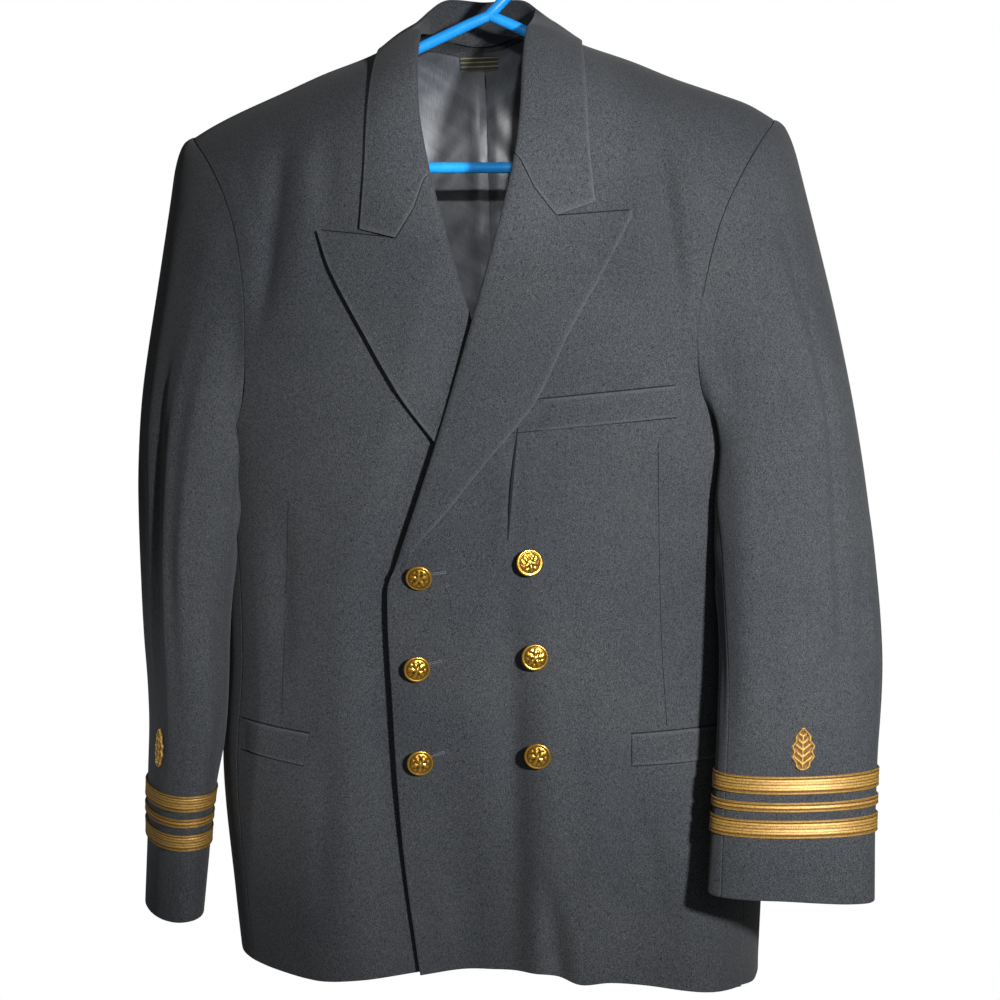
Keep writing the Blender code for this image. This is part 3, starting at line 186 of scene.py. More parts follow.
# sleeve head: share along the cap, how far it stands out
ROPE = table((1.0, MM), (0, 0), (0.05, 3), (0.12, 5.5), (0.22, 5), (0.34, 2), (0.5, 0), (1, 0))
ROPE_RISE = 0.3
ROPE_Z = -0.235
ROPE_RUN = 0.050
ROPE_SHARE = {"left": 0.6, "right": 1.0}
CUFF_SLANT = {"left": 5.0 * MM, "right": 0.0}
UNDER_Z = -0.345
UNDER_RUN = 0.075
UNDER_PITCH = 0.35
SIDE_STEPS = 6
SEAM_FRONT = 8
SEAM_BACK = 18
SEAM_IN = 0.001

# Folds on the body: x0, z0, x1, z1, half width, depth, sideways bow of the middle
FOLD_END = 0.35           # share of a fold's length over which it dies out
BODY_FOLDS = table(MM, (-155, -150, -186, -350, 13, -4.5, 4), (-128, -160, -150, -330, 14, 3, 3),
    (-115, -165, -121, -260, 10, -2.5, 0), (157, -160, 176, -345, 12, -4, -3),
    (206, -170, 200, -260, 10, -3, 2), (22, -1100, 26, -520, 18, -7, 0),
    (-18, -1250, -12, -640, 45, -28, 0), (74, -1080, 56, -780, 12, -7, 0),
    (190, -1180, 172, -660, 36, 23, 0), (-130, -1080, -126, -690, 40, 8, 0),
    (-172, -660, -166, -470, 12, -2.5, 0))
BACK_FOLDS = table(MM, (85, -160, 100, -420, 20, -5, 4), (-90, -150, -110, -380, 22, -6, -4),
    (0, -1150, 4, -560, 40, -12, 0), (120, -1120, 110, -650, 45, 9, 0), (-130, -1120, -118, -620, 45, 8, 0))
# finer creases that only the cloth here has
FINE_FOLDS = table(MM, (-155, -165, -184, -355, 8.5, -4.2, 0), (157, -180, 175, -355, 8.5, -4, 0),
    (28.5, -500, 33.4, -980, 11, -4.2, 0), (60, -560, 64, -860, 12, 1.8, 0), (54, -790, 76, -940, 8, -3, 0),
    (-130, -680, -134, -860, 10, -2.2, 0), (40.5, -418, 33, -540, 6.5, -1.8, 0),
    (30, -430, 23, -560, 9, 1.6, 0), (153, -440, 157, -675, 6, -1.2, 0),
    (-160, -480, -169, -650, 6, -1.2, -3), (-200, -185, -172, -290, 8, -1.5, 3),
    (137, -175, 150, -270, 8, 1.2, 0), (100, -620, 92, -860, 12, 1.6, 4),
    (-85, -600, -74, -820, 12, -1.2, -3), (128, -720, 155, -880, 9, -2, 3),
    (-45, -770, -30, -888, 8, 1.8, 0))
FINE_BACK = table(MM, (30, -170, 44, -330, 10, -2, 4), (-150, -300, -172, -470, 9, 1.8, -3),
    (160, -350, 178, -520, 9, -2.2, 0), (52, -680, 60, -880, 10, -2, 4),
    (-75, -650, -82, -870, 11, 2.2, -4))
# folds on the sleeves: turn in degrees and z of both ends, width, depth, bow
SLEEVE_FOLDS = {
    "left": table(TURNED, (40, -200, 62, -580, 10, -1.8, 4), (75, -360, 110, -460, 14, -1.2, 0),
        (128, -330, 132, -705, 26, 6, 0), (46, -190, 66, -690, 3.4, 2.6, 3),
        (39, -190, 58, -690, 4.5, -3, 3), (66, -330, 64, -705, 24, -3, 0),
        (25, -500, 38, -640, 12, -2.5, 3), (52, -560, 70, -660, 8, -1.6, 2),
        (30, -180, 44, -300, 8, 1.6, 0), (86, -470, 92, -640, 9, 1.4, 3), (250, -420, 270, -560, 14, -4, 5),
        (285, -300, 300, -500, 12, -3, -4), (262, -560, 275, -680, 10, 2.2, 0)),
    "right": table(TURNED, (47, -310, 50, -680, 7, -6, 3), (58, -360, 61, -680, 5, -3.2, 2),
        (66, -300, 71, -640, 4, 1.8, 2), (88, -300, 97, -620, 4, 1.6, -2), (92, -360, 96, -620, 12, 3, 0),
        (30, -420, 34, -660, 10, -3, -3), (44, -220, 56, -400, 9, -2.2, 3),
        (74, -480, 80, -700, 8, -1.6, 2), (12, -300, 16, -560, 9, 1.6, 2),
        (250, -420, 268, -580, 14, -4, 5), (288, -300, 300, -520, 12, -3, -4)),
}
# uneven waves between the folds: pace along both ways, height, seed
BODY_WAVES = (0.11, 9.0, 0.35 * MM, 3)
LAPEL_WAVES = (3.0, 6.0, 0.25 * MM, 11)
SLEEVE_WAVES = (0.07, 10.0, 0.5 * MM, 21)
WAVE_COUNT = 7
# where the waves start and over which height they grow: under the shoulder, down the sleeve, above the cuff
CALM_BODY, CALM_BODY_RUN = 0.03, 0.10
CALM_SLEEVE_Z, CALM_SLEEVE_RUN = -0.20, 0.12
CALM_CUFF, CALM_CUFF_RUN = 0.10, 0.05

# Distance from one row or column of points to the next
FRONT_STEP = 4.0 * MM
BACK_STEP = 5.0 * MM
SIDE_STEP = 4.5 * MM
SIDE_WIDE = 0.11          # about how wide the side panel is
COLLAR_STEP = 3.0 * MM
WELT_STEPS = (2.0 * MM, 3.0 * MM)
LABEL_STEPS = (1.5 * MM, 2.0 * MM)

# Cuffs
LACE_UP = {"left": 47.0 * MM, "right": 61.5 * MM}
WIDE_LACE = 13.7 * MM
NARROW_LACE = 7.3 * MM
LACE_GAP = 6.0 * MM
LACES_HIGH = 2 * WIDE_LACE + NARROW_LACE + 2 * LACE_GAP
LACE_SEAT = 0.5 * MM
LACE_THICK = 1.3 * MM
LACE_POINTS = 240
CORD_WIDE = 1.9 * MM
CORD_STEPS = table(MM, 0, 0.15, 0.35, 0.6, 0.9, 1.2, 1.5, 1.75, 1.95, 2.15, 2.35, 2.6)
RIB = 2.3 * MM            # from one thread line of a lace to the next
LEAF_LONG = 33.0 * MM
LEAF_WIDE = 17.0 * MM
LEAF_LOBES = 4.0
LEAF_VEINS = 5.2 * MM
LEAF_CORD = 1.1 * MM      # how far in from the leaf's edge its cord runs
LEAF_CORD_WIDE = 0.75 * MM
LEAF_RIB = 0.7 * MM
LEAF_WITHIN = 2.0 * MM    # how far in the veins start
LEAF_UP = {"left": 4.2 * MM, "right": 19.5 * MM}
LEAF_TURN = {"left": 84.0, "right": 52.0}

# Pocket welts: corners from the lower inner one round to the upper inner one
BREAST_WELT = table(MM, (50, -428), (168.5, -418.7), (166.4, -393.3), (56, -402.2))
BREAST_SEAM = (0.0330, -0.4285)
BREAST_SUNK = 16.0 * MM
HIP_WELT = {
    "left": table(MM, (127, -705.7), (213, -703.5), (213, -677.5), (127.4, -680.2)),
    "right": table(MM, (150.9, -707.6), (213, -700), (213, -673.5), (145.7, -680.7)),
}
HIP_SUNK = {"left": 0.0, "right": 14.0 * MM}
WELT_HIGH = 25.0 * MM
WELT_LIFT = 1.7 * MM
WELT_THICK = 1.4 * MM
WELT_END = -0.5 * MM      # lift of an end that is sunk in the front

LINING_GAP = 0.8 * MM
LINING_LOW = -0.850
LINING_WAVE = 1.1 * MM
LINING_ENDS = (-0.84, -0.085)         # between these heights the lining's waves fade in and out
LINING_FADE = 0.05
PLEAT = 1.8 * MM
PLEAT_X = 9.0 * MM
PLEAT_WIDE = 6.0 * MM
SEAM_LINE = (-0.104, -0.560)
LABEL_LIFT = 1.7 * MM
LABEL_THICK = 0.8 * MM
LABEL_X = (-0.022, 0.014)
LABEL_Z = (-0.099, -0.087)
LABEL_STRIPE = 4.0 * MM

# Buttons: share of the radius and height in mm, from the middle of the face to the shank's end
BUTTON_WIDE = 22.5 * MM
BUTTON_PROFILE = table(
    1.0, (0, 7.5), (0.05, 7.5), (0.1, 7.49), (0.15, 7.47), (0.2, 7.44), (0.25, 7.4), (0.3, 7.35),
    (0.35, 7.29), (0.4, 7.22), (0.45, 7.13), (0.5, 7.03), (0.55, 6.92), (0.6, 6.8), (0.65, 6.67),
    (0.7, 6.52), (0.74, 6.36), (0.78, 6.22), (0.82, 6.14), (0.86, 6.1), (0.91, 6.05), (0.95, 5.9),
    (0.985, 5.55), (1, 5.1), (0.99, 4.6), (0.94, 4.1), (0.8, 3.7), (0.24, 3.4), (0.22, 3.2), (0.22, 0))
BUTTON_FACE_ROWS = 21
BUTTON_SIDES = 90
# relief: height in mm, radius, width, lobes round the face and their turn
BUTTON_RELIEF = ((0.50, 0.34, 0.13, 5, 0.0), (0.30, 0.58, 0.08, 10, 0.6), (0.45, 0.0, 0.10, 0, 0.0),
                 (-0.30, 0.77, 0.04, 0, 0.0), (0.30, 0.91, 0.05, 0, 0.0))
BUTTON_FACE = np.array((0.0, -0.6, 0.05))
BUTTON_SPIN = 17.0
# how each button's face leans: across and up
BUTTON_LEAN = ((0.05, -0.40), (0.28, -0.26), (0.28, -0.30), (0.32, 0.02), (0.12, -0.10), (0.0, -0.24))
BUTTON_RIM_Z = 3.9 * MM
BUTTONS = table(MM, (-46, -545.5), (-50.6, -622.4), (-49.2, -699.9), (44.6, -535.7), (48.4, -613.6),
    (50.1, -694.2))
# buttonholes of the first three buttons: length and slope
HOLE_LONG = 20.5 * MM
HOLE_START = 6.0 * MM
HOLE_EYE = 1.2 * MM
HOLE_SLOPES = (0.10, 0.24, 0.32)
# darts of the fronts, drawn as dark lines of painted shadow along their folds: radius, how far sunk, extra
# radius at the middle, points as own x and z
DART_SHADOWS = {
    "left": ((0.5 * MM, 0.75 * MM, 0.9 * MM, table(MM, (38.5, -425), (32.2, -473.2), (28.4, -517))),
             (0.45 * MM, 0.7 * MM, 0.0, table(MM, (152.9, -439.2), (153.1, -583.5), (156.5, -674)))),
    "right": ((0.45 * MM, 0.7 * MM, 0.0,
               table(MM, (159.9, -483.3), (166.4, -552.8), (169.7, -604.8), (171.2, -666))),),
}

# Sewn lines and dark lines of painted shade: how far up they are moved (a buttonhole's: its half width),
# radius, how far sunk
MOUTH_SHADOW = (0.9 * MM, 0.5 * MM, 0.55 * MM)
WELT_SEAM_SHADE = (-0.4 * MM, 0.4 * MM, 0.45 * MM)
PEAK_SHADOW = (0.9 * MM, 0.45 * MM, 0.45 * MM)
ARMHOLE_SHADE_LINE = (-1.5 * MM, 0.42 * MM, 0.62 * MM)
HOLE_LINE = (0.6 * MM, 0.38 * MM, 0.42 * MM)

# Hanger
TUBE = 4.8 * MM
APEX_Z = -0.0664
HOOK_RADIUS = 0.030
ARM_HALF = 0.205
ARM_SLOPE = 0.466
BAR_Z = -0.198
TILT = math.radians(2.0)
HOOK_END = 190.0

# Lights: kind, place, aim, power, and what belongs to the kind
LIGHTS = {
    "key": ("SPOT", (0.68, -1.25, -0.20), (0.21, -0.10, -0.43), 131.0,
            {"spot_size": math.radians(60.0), "spot_blend": 1.0, "shadow_soft_size": 0.05}),
    "fill": ("AREA", (0.35, -2.4, -0.1), (0.0, 0.0, -0.4), 3.5, {"size": 0.7}),
    "neck": ("SPOT", (0.21, -1.15, 0.02), (-0.006, 0.05, -0.200), 26.0,
             {"spot_size": math.radians(13.5), "spot_blend": 0.7, "shadow_soft_size": 0.02}),
    "cuff": ("SPOT", (-0.75, -1.15, -0.45), (-0.290, -0.06, -0.680), 30.0,
             {"spot_size": math.radians(13.0), "spot_blend": 1.0, "shadow_soft_size": 0.1}),
    "rear": ("AREA", (0.15, 2.7, -0.25), (0.0, 0.0, -0.45), 85.0, {"size": 1.0}),
}
WORLD_LIGHT = 0.07
FLOOR_Z = -2.4
FLOOR_HALF = 2.6
CAMERA_TURN, CAMERA_DOWN, CAMERA_ROLL = (math.radians(a) for a in (6.0, 3.6, 1.25))
CAMERA_PLACE = (0.14634, -1.39233, -0.402)
CAMERA_LENS = 56.844


# Curves and folds on arrays

def curve(keys, values, at):
    """Smooth curve through the given points, at an array of places."""
    keys = np.asarray(keys, float)
    values = np.asarray(values, float)
    rise = np.empty_like(values)
    rise[0] = (values[1] - values[0]) / (keys[1] - keys[0])
    rise[-1] = (values[-1] - values[-2]) / (keys[-1] - keys[-2])
    gaps = keys[2:] - keys[:-2]
    rise[1:-1] = (values[2:] - values[:-2]) / (gaps if values.ndim == 1 else gaps[:, None])
    at = np.clip(np.asarray(at, float), keys[0], keys[-1])
    i = np.clip(np.searchsorted(keys, at, side="right") - 1, 0, len(keys) - 2)
    span = keys[i + 1] - keys[i]
    t = (at - keys[i]) / span
    if values.ndim > 1:
        span = span[..., None]
        t = t[..., None]
    u = 1 - t
    low = (1 + 2 * t) * u ** 2 * values[i] + t * u ** 2 * span * rise[i]
    return low + t * t * (3 - 2 * t) * values[i + 1] + t * t * (t - 1) * span * rise[i + 1]


def column(rows, k, at):
    return curve(rows[:, 0], rows[:, k], at)


def along(points, count):
    """A number of even places on the curve through some points."""
    return curve(np.arange(len(points)), points, np.linspace(0, len(points) - 1, count))


def smooth(t):
    t = np.clip(t, 0.0, 1.0)
    return t * t * (3 - 2 * t)


def mix(a, b, t):
    return a + (b - a) * t


def spow(value, power):
    return np.sign(value) * np.abs(value) ** power


def hump(x, width):
    return np.exp(-(x / width) ** 2)


def unit(v):
    return v / np.maximum(np.linalg.norm(v, axis=-1, keepdims=True), 1e-12)


def fold_height(folds, x, z):
    """Troughs and ridges at each place, dying out at their ends."""
    total = np.zeros(np.broadcast(x, z).shape)
    for x0, z0, x1, z1, width, depth, bow in folds:
        t = (z - z0) / (z1 - z0)
        inside = (t > 0) & (t < 1)
        t = np.clip(t, 0, 1)
        off = x - (x0 + (x1 - x0) * t + bow * 4 * t * (1 - t))
        total += np.where(inside, depth * smooth(np.minimum(t, 1 - t) / FOLD_END) * hump(off, width), 0)
    return total


def waves(a, b, kind):
    """Slow uneven waves, as hung cloth has between its folds."""
    pace_a, pace_b, height, seed = kind
    total = 0.0
    draw = np.random.default_rng(seed)
    for k in range(WAVE_COUNT):
        fa, fb = draw.uniform(0.5, 2.2, 2) * (1 + 0.35 * k)
        total = total + np.sin(fa * a * pace_a + fb * b * pace_b * 0.6 + draw.uniform(0, 6.28)) / (1 + k)
    return height * total


# Body skin

def shoulder_height(x):
    far = np.abs(x)
    return np.where(x >= 0, column(SHOULDER, 1, far), column(SHOULDER, 2, far))


def body_point(angle, z):
    angle, z = np.broadcast_arrays(np.asarray(angle, float), np.asarray(z, float))
    s, c = np.sin(np.radians(angle)), np.cos(np.radians(angle))
    x = column(TORSO, 1, z) * spow(s, 2 / BODY_POWER)
    y = -np.where(c > 0, column(TORSO, 2, z), column(TORSO, 3, z)) * spow(c, 2 / BODY_POWER)
    below = np.clip((shoulder_height(x) - z) / SHOULDER_ROLL, 0.0, 1.0)
    roll = np.sqrt(1 - (1 - below) ** 2)
    return np.stack([x, y * roll + RIDGE_Y * (1 - roll), z], -1)


def body_normal(angle, z):
    around = body_point(angle + 0.4, z) - body_point(angle - 0.4, z)
    up = body_point(angle, z) - body_point(angle, z - 0.5 * MM)
    return unit(np.cross(around, up))


def skin(angle, z, lift=0.0, fine=1.0):
    """Points on the folded body skin, moved out by a lift."""
    angle, z = np.broadcast_arrays(np.asarray(angle, float), np.asarray(z, float))
    z = z - column(HEM, 1, angle) * np.clip((HEM_Z + HEM_RISE - z) / HEM_RISE, 0, 1)
    point = body_point(angle, z)
    x = point[..., 0]
    front = fold_height(BODY_FOLDS, x, z) + fine * fold_height(FINE_FOLDS, x, z)
    back = fold_height(BACK_FOLDS, x, z) + fine * fold_height(FINE_BACK, x, z)
    calm = smooth((shoulder_height(x) - z - CALM_BODY) / CALM_BODY_RUN)
    height = np.where(np.abs(angle) < 90, front, back) + fine * calm * waves(angle, z, BODY_WAVES)
    return point + body_normal(angle, z) * (height + lift)[..., None] + (JACKET_X, 0, 0)


def front_angle(x, z):
    share = np.clip(np.abs(x) / column(TORSO, 1, z), 0, 1)
    return np.sign(x) * np.degrees(np.arcsin(share ** (BODY_POWER / 2)))


def back_angle(x, z):
    return np.where(x >= 0, 180.0, -180.0) - front_angle(x, z)


def edge_x(side, z):
    return column(EDGE, EDGE_COLUMN[side], z)


def on_front(side, own_x, z, lift=0.0, fine=1.0):
    x = SIDES[side] * own_x
    if side == "right":
        lift = lift - TUCK * smooth((x - (edge_x("left", z) - TUCK_START)) / TUCK_RUN)
    return skin(front_angle(x, z), z, lift, fine)


def on_back(side, own_x, z, lift=0.0):
    return skin(back_angle(SIDES[side] * own_x, z), z, lift)


# Building walls

def add_object(name, data):
    made = bpy.data.objects.new(name, data)
    bpy.context.scene.collection.objects.link(made)
    return made


def add_mesh(name, points, quads, look, uv=None, smooth_shade=True):
    mesh = bpy.data.meshes.new(name)
    mesh.from_pydata(points.reshape(-1, 3).tolist(), [], quads.tolist())
    if uv is not None:
        layer = mesh.uv_layers.new(name="cloth")
        loops = np.empty(len(mesh.loops), int)
        mesh.loops.foreach_get("vertex_index", loops)
        layer.data.foreach_set("uv", uv.reshape(-1, 2)[loops].astype(np.float32).ravel())
    mesh.polygons.foreach_set("use_smooth", np.full(len(mesh.polygons), smooth_shade))
    mesh.materials.append(look)
    return add_object(name, mesh)


def add_tone(piece, values):
    """A number for each point that its material reads: relief, or how much an edge is lightened by abrasion
    and a painted highlight.
    """
    tone = piece.data.attributes.new("relief", "FLOAT", "POINT")
    tone.data.foreach_set("value", np.asarray(values, np.float32).ravel())


def corners_of(mesh):
    """Three arrays with the corners of a mesh's triangles."""
    mesh.calc_loop_triangles()
    co = np.empty(len(mesh.vertices) * 3)
    mesh.vertices.foreach_get("co", co)
    tri = np.empty(len(mesh.loop_triangles) * 3, int)
    mesh.loop_triangles.foreach_get("vertices", tri)
    return co.reshape(-1, 3)[tri.reshape(-1, 3)].swapaxes(0, 1)


def make_outward(piece):
    """Turns the faces out if the closed mesh has them in."""
    a, b, c = corners_of(piece.data)
    if (a * np.cross(b, c)).sum() < 0:
        piece.data.flip_normals()


def cell_faces(rows, cols, looped):
    i, j = np.meshgrid(np.arange(rows - 1), np.arange(cols if looped else cols - 1), indexing="ij")
    a = i * cols + j
    b = i * cols + (j + 1) % cols
    return np.stack([a, b, b + cols, a + cols], -1).reshape(-1, 4)


def rim_faces(rows, cols, looped):
    half = rows * cols
    last = half - cols
    faces = []
    for j in range(cols if looped else cols - 1):
        k = (j + 1) % cols
        faces.append((j, half + j, half + k, k))
        faces.append((last + j, last + k, half + last + k, half + last + j))
    if not looped:
        for a in range(0, last, cols):
            b = a + cols - 1
            faces.append((a, a + cols, half + a + cols, half + a))
            faces.append((b, half + b, half + b + cols, b + cols))
    return np.array(faces)


def close_wall(name, outer, inner, look, uv, tones, looped=False, out=1.0):
    """Closed mesh between two grids of points, each with the numbers its material reads."""
    rows, cols = outer.shape[:2]
    quads = cell_faces(rows, cols, looped)
    faces = np.concatenate([quads[:, ::-1], quads + rows * cols, rim_faces(rows, cols, looped)])
    if out < 0:
        faces = faces[:, ::-1]
    uv = np.stack(uv, -1)
    made = add_mesh(name, np.stack([outer, inner]), faces, look, np.stack([uv, uv]))
    add_tone(made, np.stack([np.broadcast_to(tone, (rows, cols)) for tone in tones]))
    make_outward(made)
    return made


def lengths(grid, axis):
    """Distance along each row or column from its start."""
    step = np.linalg.norm(np.diff(grid, axis=axis), axis=-1)
    zero = np.zeros_like(np.take(step, [0], axis=axis))
    return np.concatenate([zero, np.cumsum(step, axis=axis)], axis=axis)


def grid_normals(grid):
    return unit(np.cross(np.gradient(grid, axis=1), np.gradient(grid, axis=0)))


def wall(name, grid, thickness, look, out=1.0, edges="tblr", radius=ROUND, worn_and_lit="", wear_and_highlight=1.0):
    """Closed wall under a grid of outer points, its edges rounded.

    out is 1 or -1 for the side that faces out; edges says which are rounded,
    the last two say which of them are lighter, partly from abrasion and partly a painted highlight, and how
    much.
    """
    normals = grid_normals(grid) * out
    up, across = lengths(grid, 0), lengths(grid, 1)
    from_edge = {"t": up, "b": up[-1:] - up, "l": across, "r": across[:, -1:] - across}
    far, from_worn_lit_edge = (np.minimum.reduce([np.ones(grid.shape[:2])] + [from_edge[k] for k in letters])
                   for letters in (edges, worn_and_lit))
    t = np.clip(1 - far / radius, 0, 1)
    cut = np.minimum(radius * (1 - np.sqrt(1 - t * t)), 0.49 * thickness)[..., None]
    # painted highlight and abrasion: cloth lighter close to the chosen edges
    tone = np.clip(1 - from_worn_lit_edge / EDGE_WEAR_AND_HIGHLIGHT, 0, 1) * wear_and_highlight
    return close_wall(name, grid - normals * cut, grid - normals * (thickness - cut), look,
                      (across, up), (tone, tone), out=out)


def near_edges(first, last, step, end=True):
    """Places from first to last: close together at rounded edges, then even."""
    high = [last - first - t for t in EDGE_STEPS[::-1]] if end else [last - first]
    count = max(int((high[0] - EDGE_STEPS[-1]) / step), 1)
    return first + np.concatenate([EDGE_STEPS, np.linspace(EDGE_STEPS[-1], high[0], count + 1)[1:-1], high])


def row_shares(widths, step):
    """For rows of given widths: shares with fixed distances near both ends."""
    base = near_edges(0.0, float(np.max(widths)), step)
    middle = base[3:-3]
    scaled = (middle - middle[0]) / (middle[-1] - middle[0])
    width = np.asarray(widths)[:, None]
    inner = mix(base[3], width - base[3], scaled[1:-1])
    return np.concatenate([base[:4] + 0 * width, inner, width - base[:4][::-1]], axis=1) / width


# Body panels

def seam_x(z):
    return SIDE_SHARE * column(TORSO, 1, z)


def front_inner(side, z):
    return edge_x(side, z) + FOLD_WRAP * smooth((z - BREAK_Z - WRAP_LATE) / WRAP_RUN)


def shoulder_side(side, own_x):
    return shoulder_height(SIDES[side] * own_x)


def panel_grid(side, hole, inner_x, step):
    """Own x and z of a front or back panel, hem to shoulder."""
    low = near_edges(HEM_Z, ARMPIT_Z, step, end=False)
    top = along(hole, 7 * len(hole) - 6)
    top[-1, 1] = shoulder_side(side, top[-1, 0])
    full_out = float(shoulder_side(side, hole[0][0])) - hole[0][1]
    out_x = np.concatenate([seam_x(low) - SEAM, top[:, 0]])
    out_z = np.concatenate([low, top[:, 1]])
    in_z = out_z.copy()
    fan = np.arange(len(out_z)) >= len(low)
    out_down = shoulder_side(side, out_x) - out_z
    for _ in range(8):
        in_x = inner_x(in_z)
        full_in = shoulder_side(side, in_x) - hole[0][1]
        in_z = np.where(fan, shoulder_side(side, in_x) - out_down * full_in / full_out, out_z)
    in_x = inner_x(in_z)
    shares = row_shares(out_x - in_x, step)
    x = mix(in_x[:, None], out_x[:, None], shares)
    flat_z = mix(in_z[:, None], out_z[:, None], shares)
    down = mix((shoulder_side(side, in_x) - in_z)[:, None], out_down[:, None], shares)
    return x, np.where(fan[:, None], shoulder_side(side, x) - down, flat_z)


def panel(name, grid, side, way, look):
    """Wall of a front or back, its shoulder edge a little apart from the other's."""
    grid[-1, :, 1] += way * SHOULDER_GAP
    return wall(name + side, grid, CLOTH, look, -way * SIDES[side])


def front_panel(side, look):
    x, z = panel_grid(side, ARMHOLE_FRONT[side], lambda q: front_inner(side, q), FRONT_STEP)
    return panel("front_", on_front(side, x, z), side, -1, look)


def neck_height(side, x):
    low = mix(NECK_Z - NECK_DIP, shoulder_side(side, NECK_RUN), smooth(x / NECK_RUN) ** 1.5)
    return np.minimum(low, shoulder_side(side, x))


def back_places(side):
    x, z = panel_grid(side, ARMHOLE_BACK, lambda q: 0 * q + SEAM, BACK_STEP)
    start = np.argmax(z[:, 0] > ARMPIT_Z + 0.002)
    rise = np.clip((np.arange(len(z)) - start + 1) / (len(z) - start), 0, 1)[:, None]
    z = np.where(rise > 0, z - rise ** 2 * (shoulder_side(side, x) - neck_height(side, x)), z)
    return x, z


def back_panel(side, look):
    return panel("back_", on_back(side, *back_places(side)), side, 1, look)


def side_panel(side, look):
    z = near_edges(HEM_Z, ARMPIT_Z - EDGE_STEPS[-1], BACK_STEP)
    first = front_angle(seam_x(z) + SEAM, z)[:, None]
    angle = mix(first, 180.0 - first, row_shares(np.full(len(z), SIDE_WIDE), SIDE_STEP))
    return wall("side_" + side, skin(SIDES[side] * angle, z[:, None]), CLOTH, look, SIDES[side])


# Lapels and collar

def gorge_line(side, free, share):
    """Gorge seam from the roll through the notch to a free corner."""
    roll, notch, end = (GORGE[side][k] for k in (0, 1, free))
    points = np.array([roll + (ROLL_SECTION[-1, 0], 0), mix(roll, notch, 0.5), notch,
                       mix(notch, end, 0.5), end])
    return [np.interp(share, (0.0, 0.25, 0.5, 0.75, 1.0), points[:, k]) for k in (0, 1)]


def roll_rise(place):
    """Height that the gorge seam has gained at a place on the roll."""
    return ROLL_RISE * (ROLL_SECTION[-1, 0] - place)


def leaf_shares(widths):
    """Even shares across a lapel, with three close to its edge, for each row."""
    even = np.linspace(0, 1, 2 * LEAF_COLUMNS + 1)[1:-1]
    near = np.array(EDGE_STEPS[::-1])
    fit = np.minimum(1, 0.45 * widths / LEAF_COLUMNS / near[0])
    close = 1 - near[None, :] * fit[:, None] / widths[:, None]
    return np.concatenate([np.repeat(even[None, :], len(widths), axis=0), close], axis=1)


def lapel(side, look):
    gorge, edge = GORGE[side], LAPEL_EDGE[side]
    t = LAPEL_ROWS
    rows = t[:, None]
    roll_z = mix(BREAK_Z, gorge[0][1] - GORGE_GAP, t)
    out_z = mix(BREAK_Z, gorge[2][1], t)
    start = edge_x(side, roll_z) + ROLL_FINE[-1, 0]
    end = np.maximum(curve(edge[:, 1], edge[:, 0], out_z), start + 3 * MM)
    shares = leaf_shares(end - start)
    bend = rows ** 4
    end_x, end_z = gorge_line(side, 2, shares)
    top_x = mix(gorge[0][0] + ROLL_FINE[-1, 0], gorge[2][0], shares)
    top_z = mix(gorge[0][1], gorge[2][1], shares)
    leaf_x = mix(start[:, None], end[:, None], shares) + bend * (end_x - top_x)
    leaf_z = mix(roll_z[:, None], out_z[:, None], shares) + bend * (end_z - top_z) - COLLAR_IN
    belly = np.sin(np.pi * shares) ** 1.2 * smooth((end - start)[:, None] / 0.06)
    wave = waves(shares, rows, LAPEL_WAVES) * np.sin(np.pi * shares)
    foot = smooth((rows - t[0]) / FOOT_RUN)
    lift = mix(FOOT_LIFT, ROLL_FINE[-1, 1] + belly * LAPEL_BELLY * (1 - bend) + wave, foot)
    stand = shares ** 1.5 * smooth((rows - STAND_FROM) / STAND_RUN) * (1 - 0.4 * bend)
    leaf_grid = on_front(side, leaf_x, leaf_z, lift + EDGE_STAND[side] * stand, LAPEL_FINE)
    z = roll_z[:, None] + bend * roll_rise(ROLL_FINE[:, 0])
    x = edge_x(side, z) + ROLL_FINE[:, 0] + (1 - foot) * FOOT_IN
    roll = on_front(side, x, z, mix(FOOT_LIFT, ROLL_FINE[:, 1], foot), LAPEL_FINE)
    # the lapel's outer and top edges lighter: abrasion and a painted highlight, fading in above the foot
    return wall("lapel_" + side, np.concatenate([roll, leaf_grid], axis=1), FACING, look, SIDES[side],
                edges="tbr", worn_and_lit="rt", wear_and_highlight=smooth((rows - WEAR_HIGHLIGHT_FROM) / WEAR_HIGHLIGHT_RUN))


def collar_chest_row(side, fold_z):
    """Points of the collar on the chest, at one height of its fold: roll columns, then leaf."""
    low = GORGE[side][0][1] + COLLAR_IN
    share = np.clip((COLLAR_COLUMNS - 4) / 4, 0, 1)
    section = curve(np.arange(5), ROLL_SECTION, np.minimum(COLLAR_COLUMNS, 4))

    def place(height):
        base = float(edge_x(side, height)) + ROLL_SECTION[-1, 0]
        edge_at, edge_z = (float(column(COLLAR_CHEST[side], k, height)) for k in (1, 2))
        return mix(base, edge_at, share), mix(height, edge_z, share)

    x, z = place(fold_z)
    low_x, low_z = place(low)
    end_x, end_z = gorge_line(side, 3, share)
    pull = 1 - float(smooth((fold_z - low) / PULL_RUN))
    on_roll = COLLAR_COLUMNS < 4
    roll_z = fold_z + pull * roll_rise(section[:, 0])
    x = np.where(on_roll, edge_x(side, roll_z) + section[:, 0], x + pull * (end_x - low_x))
    z = np.where(on_roll, roll_z, z + pull * (end_z + COLLAR_IN - low_z))
    lift = np.where(on_roll, section[:, 1], LAPEL_LIFT + CHEST_BULGE * np.sin(np.pi * share))
    return on_front(side, x, z, lift, 0.0)


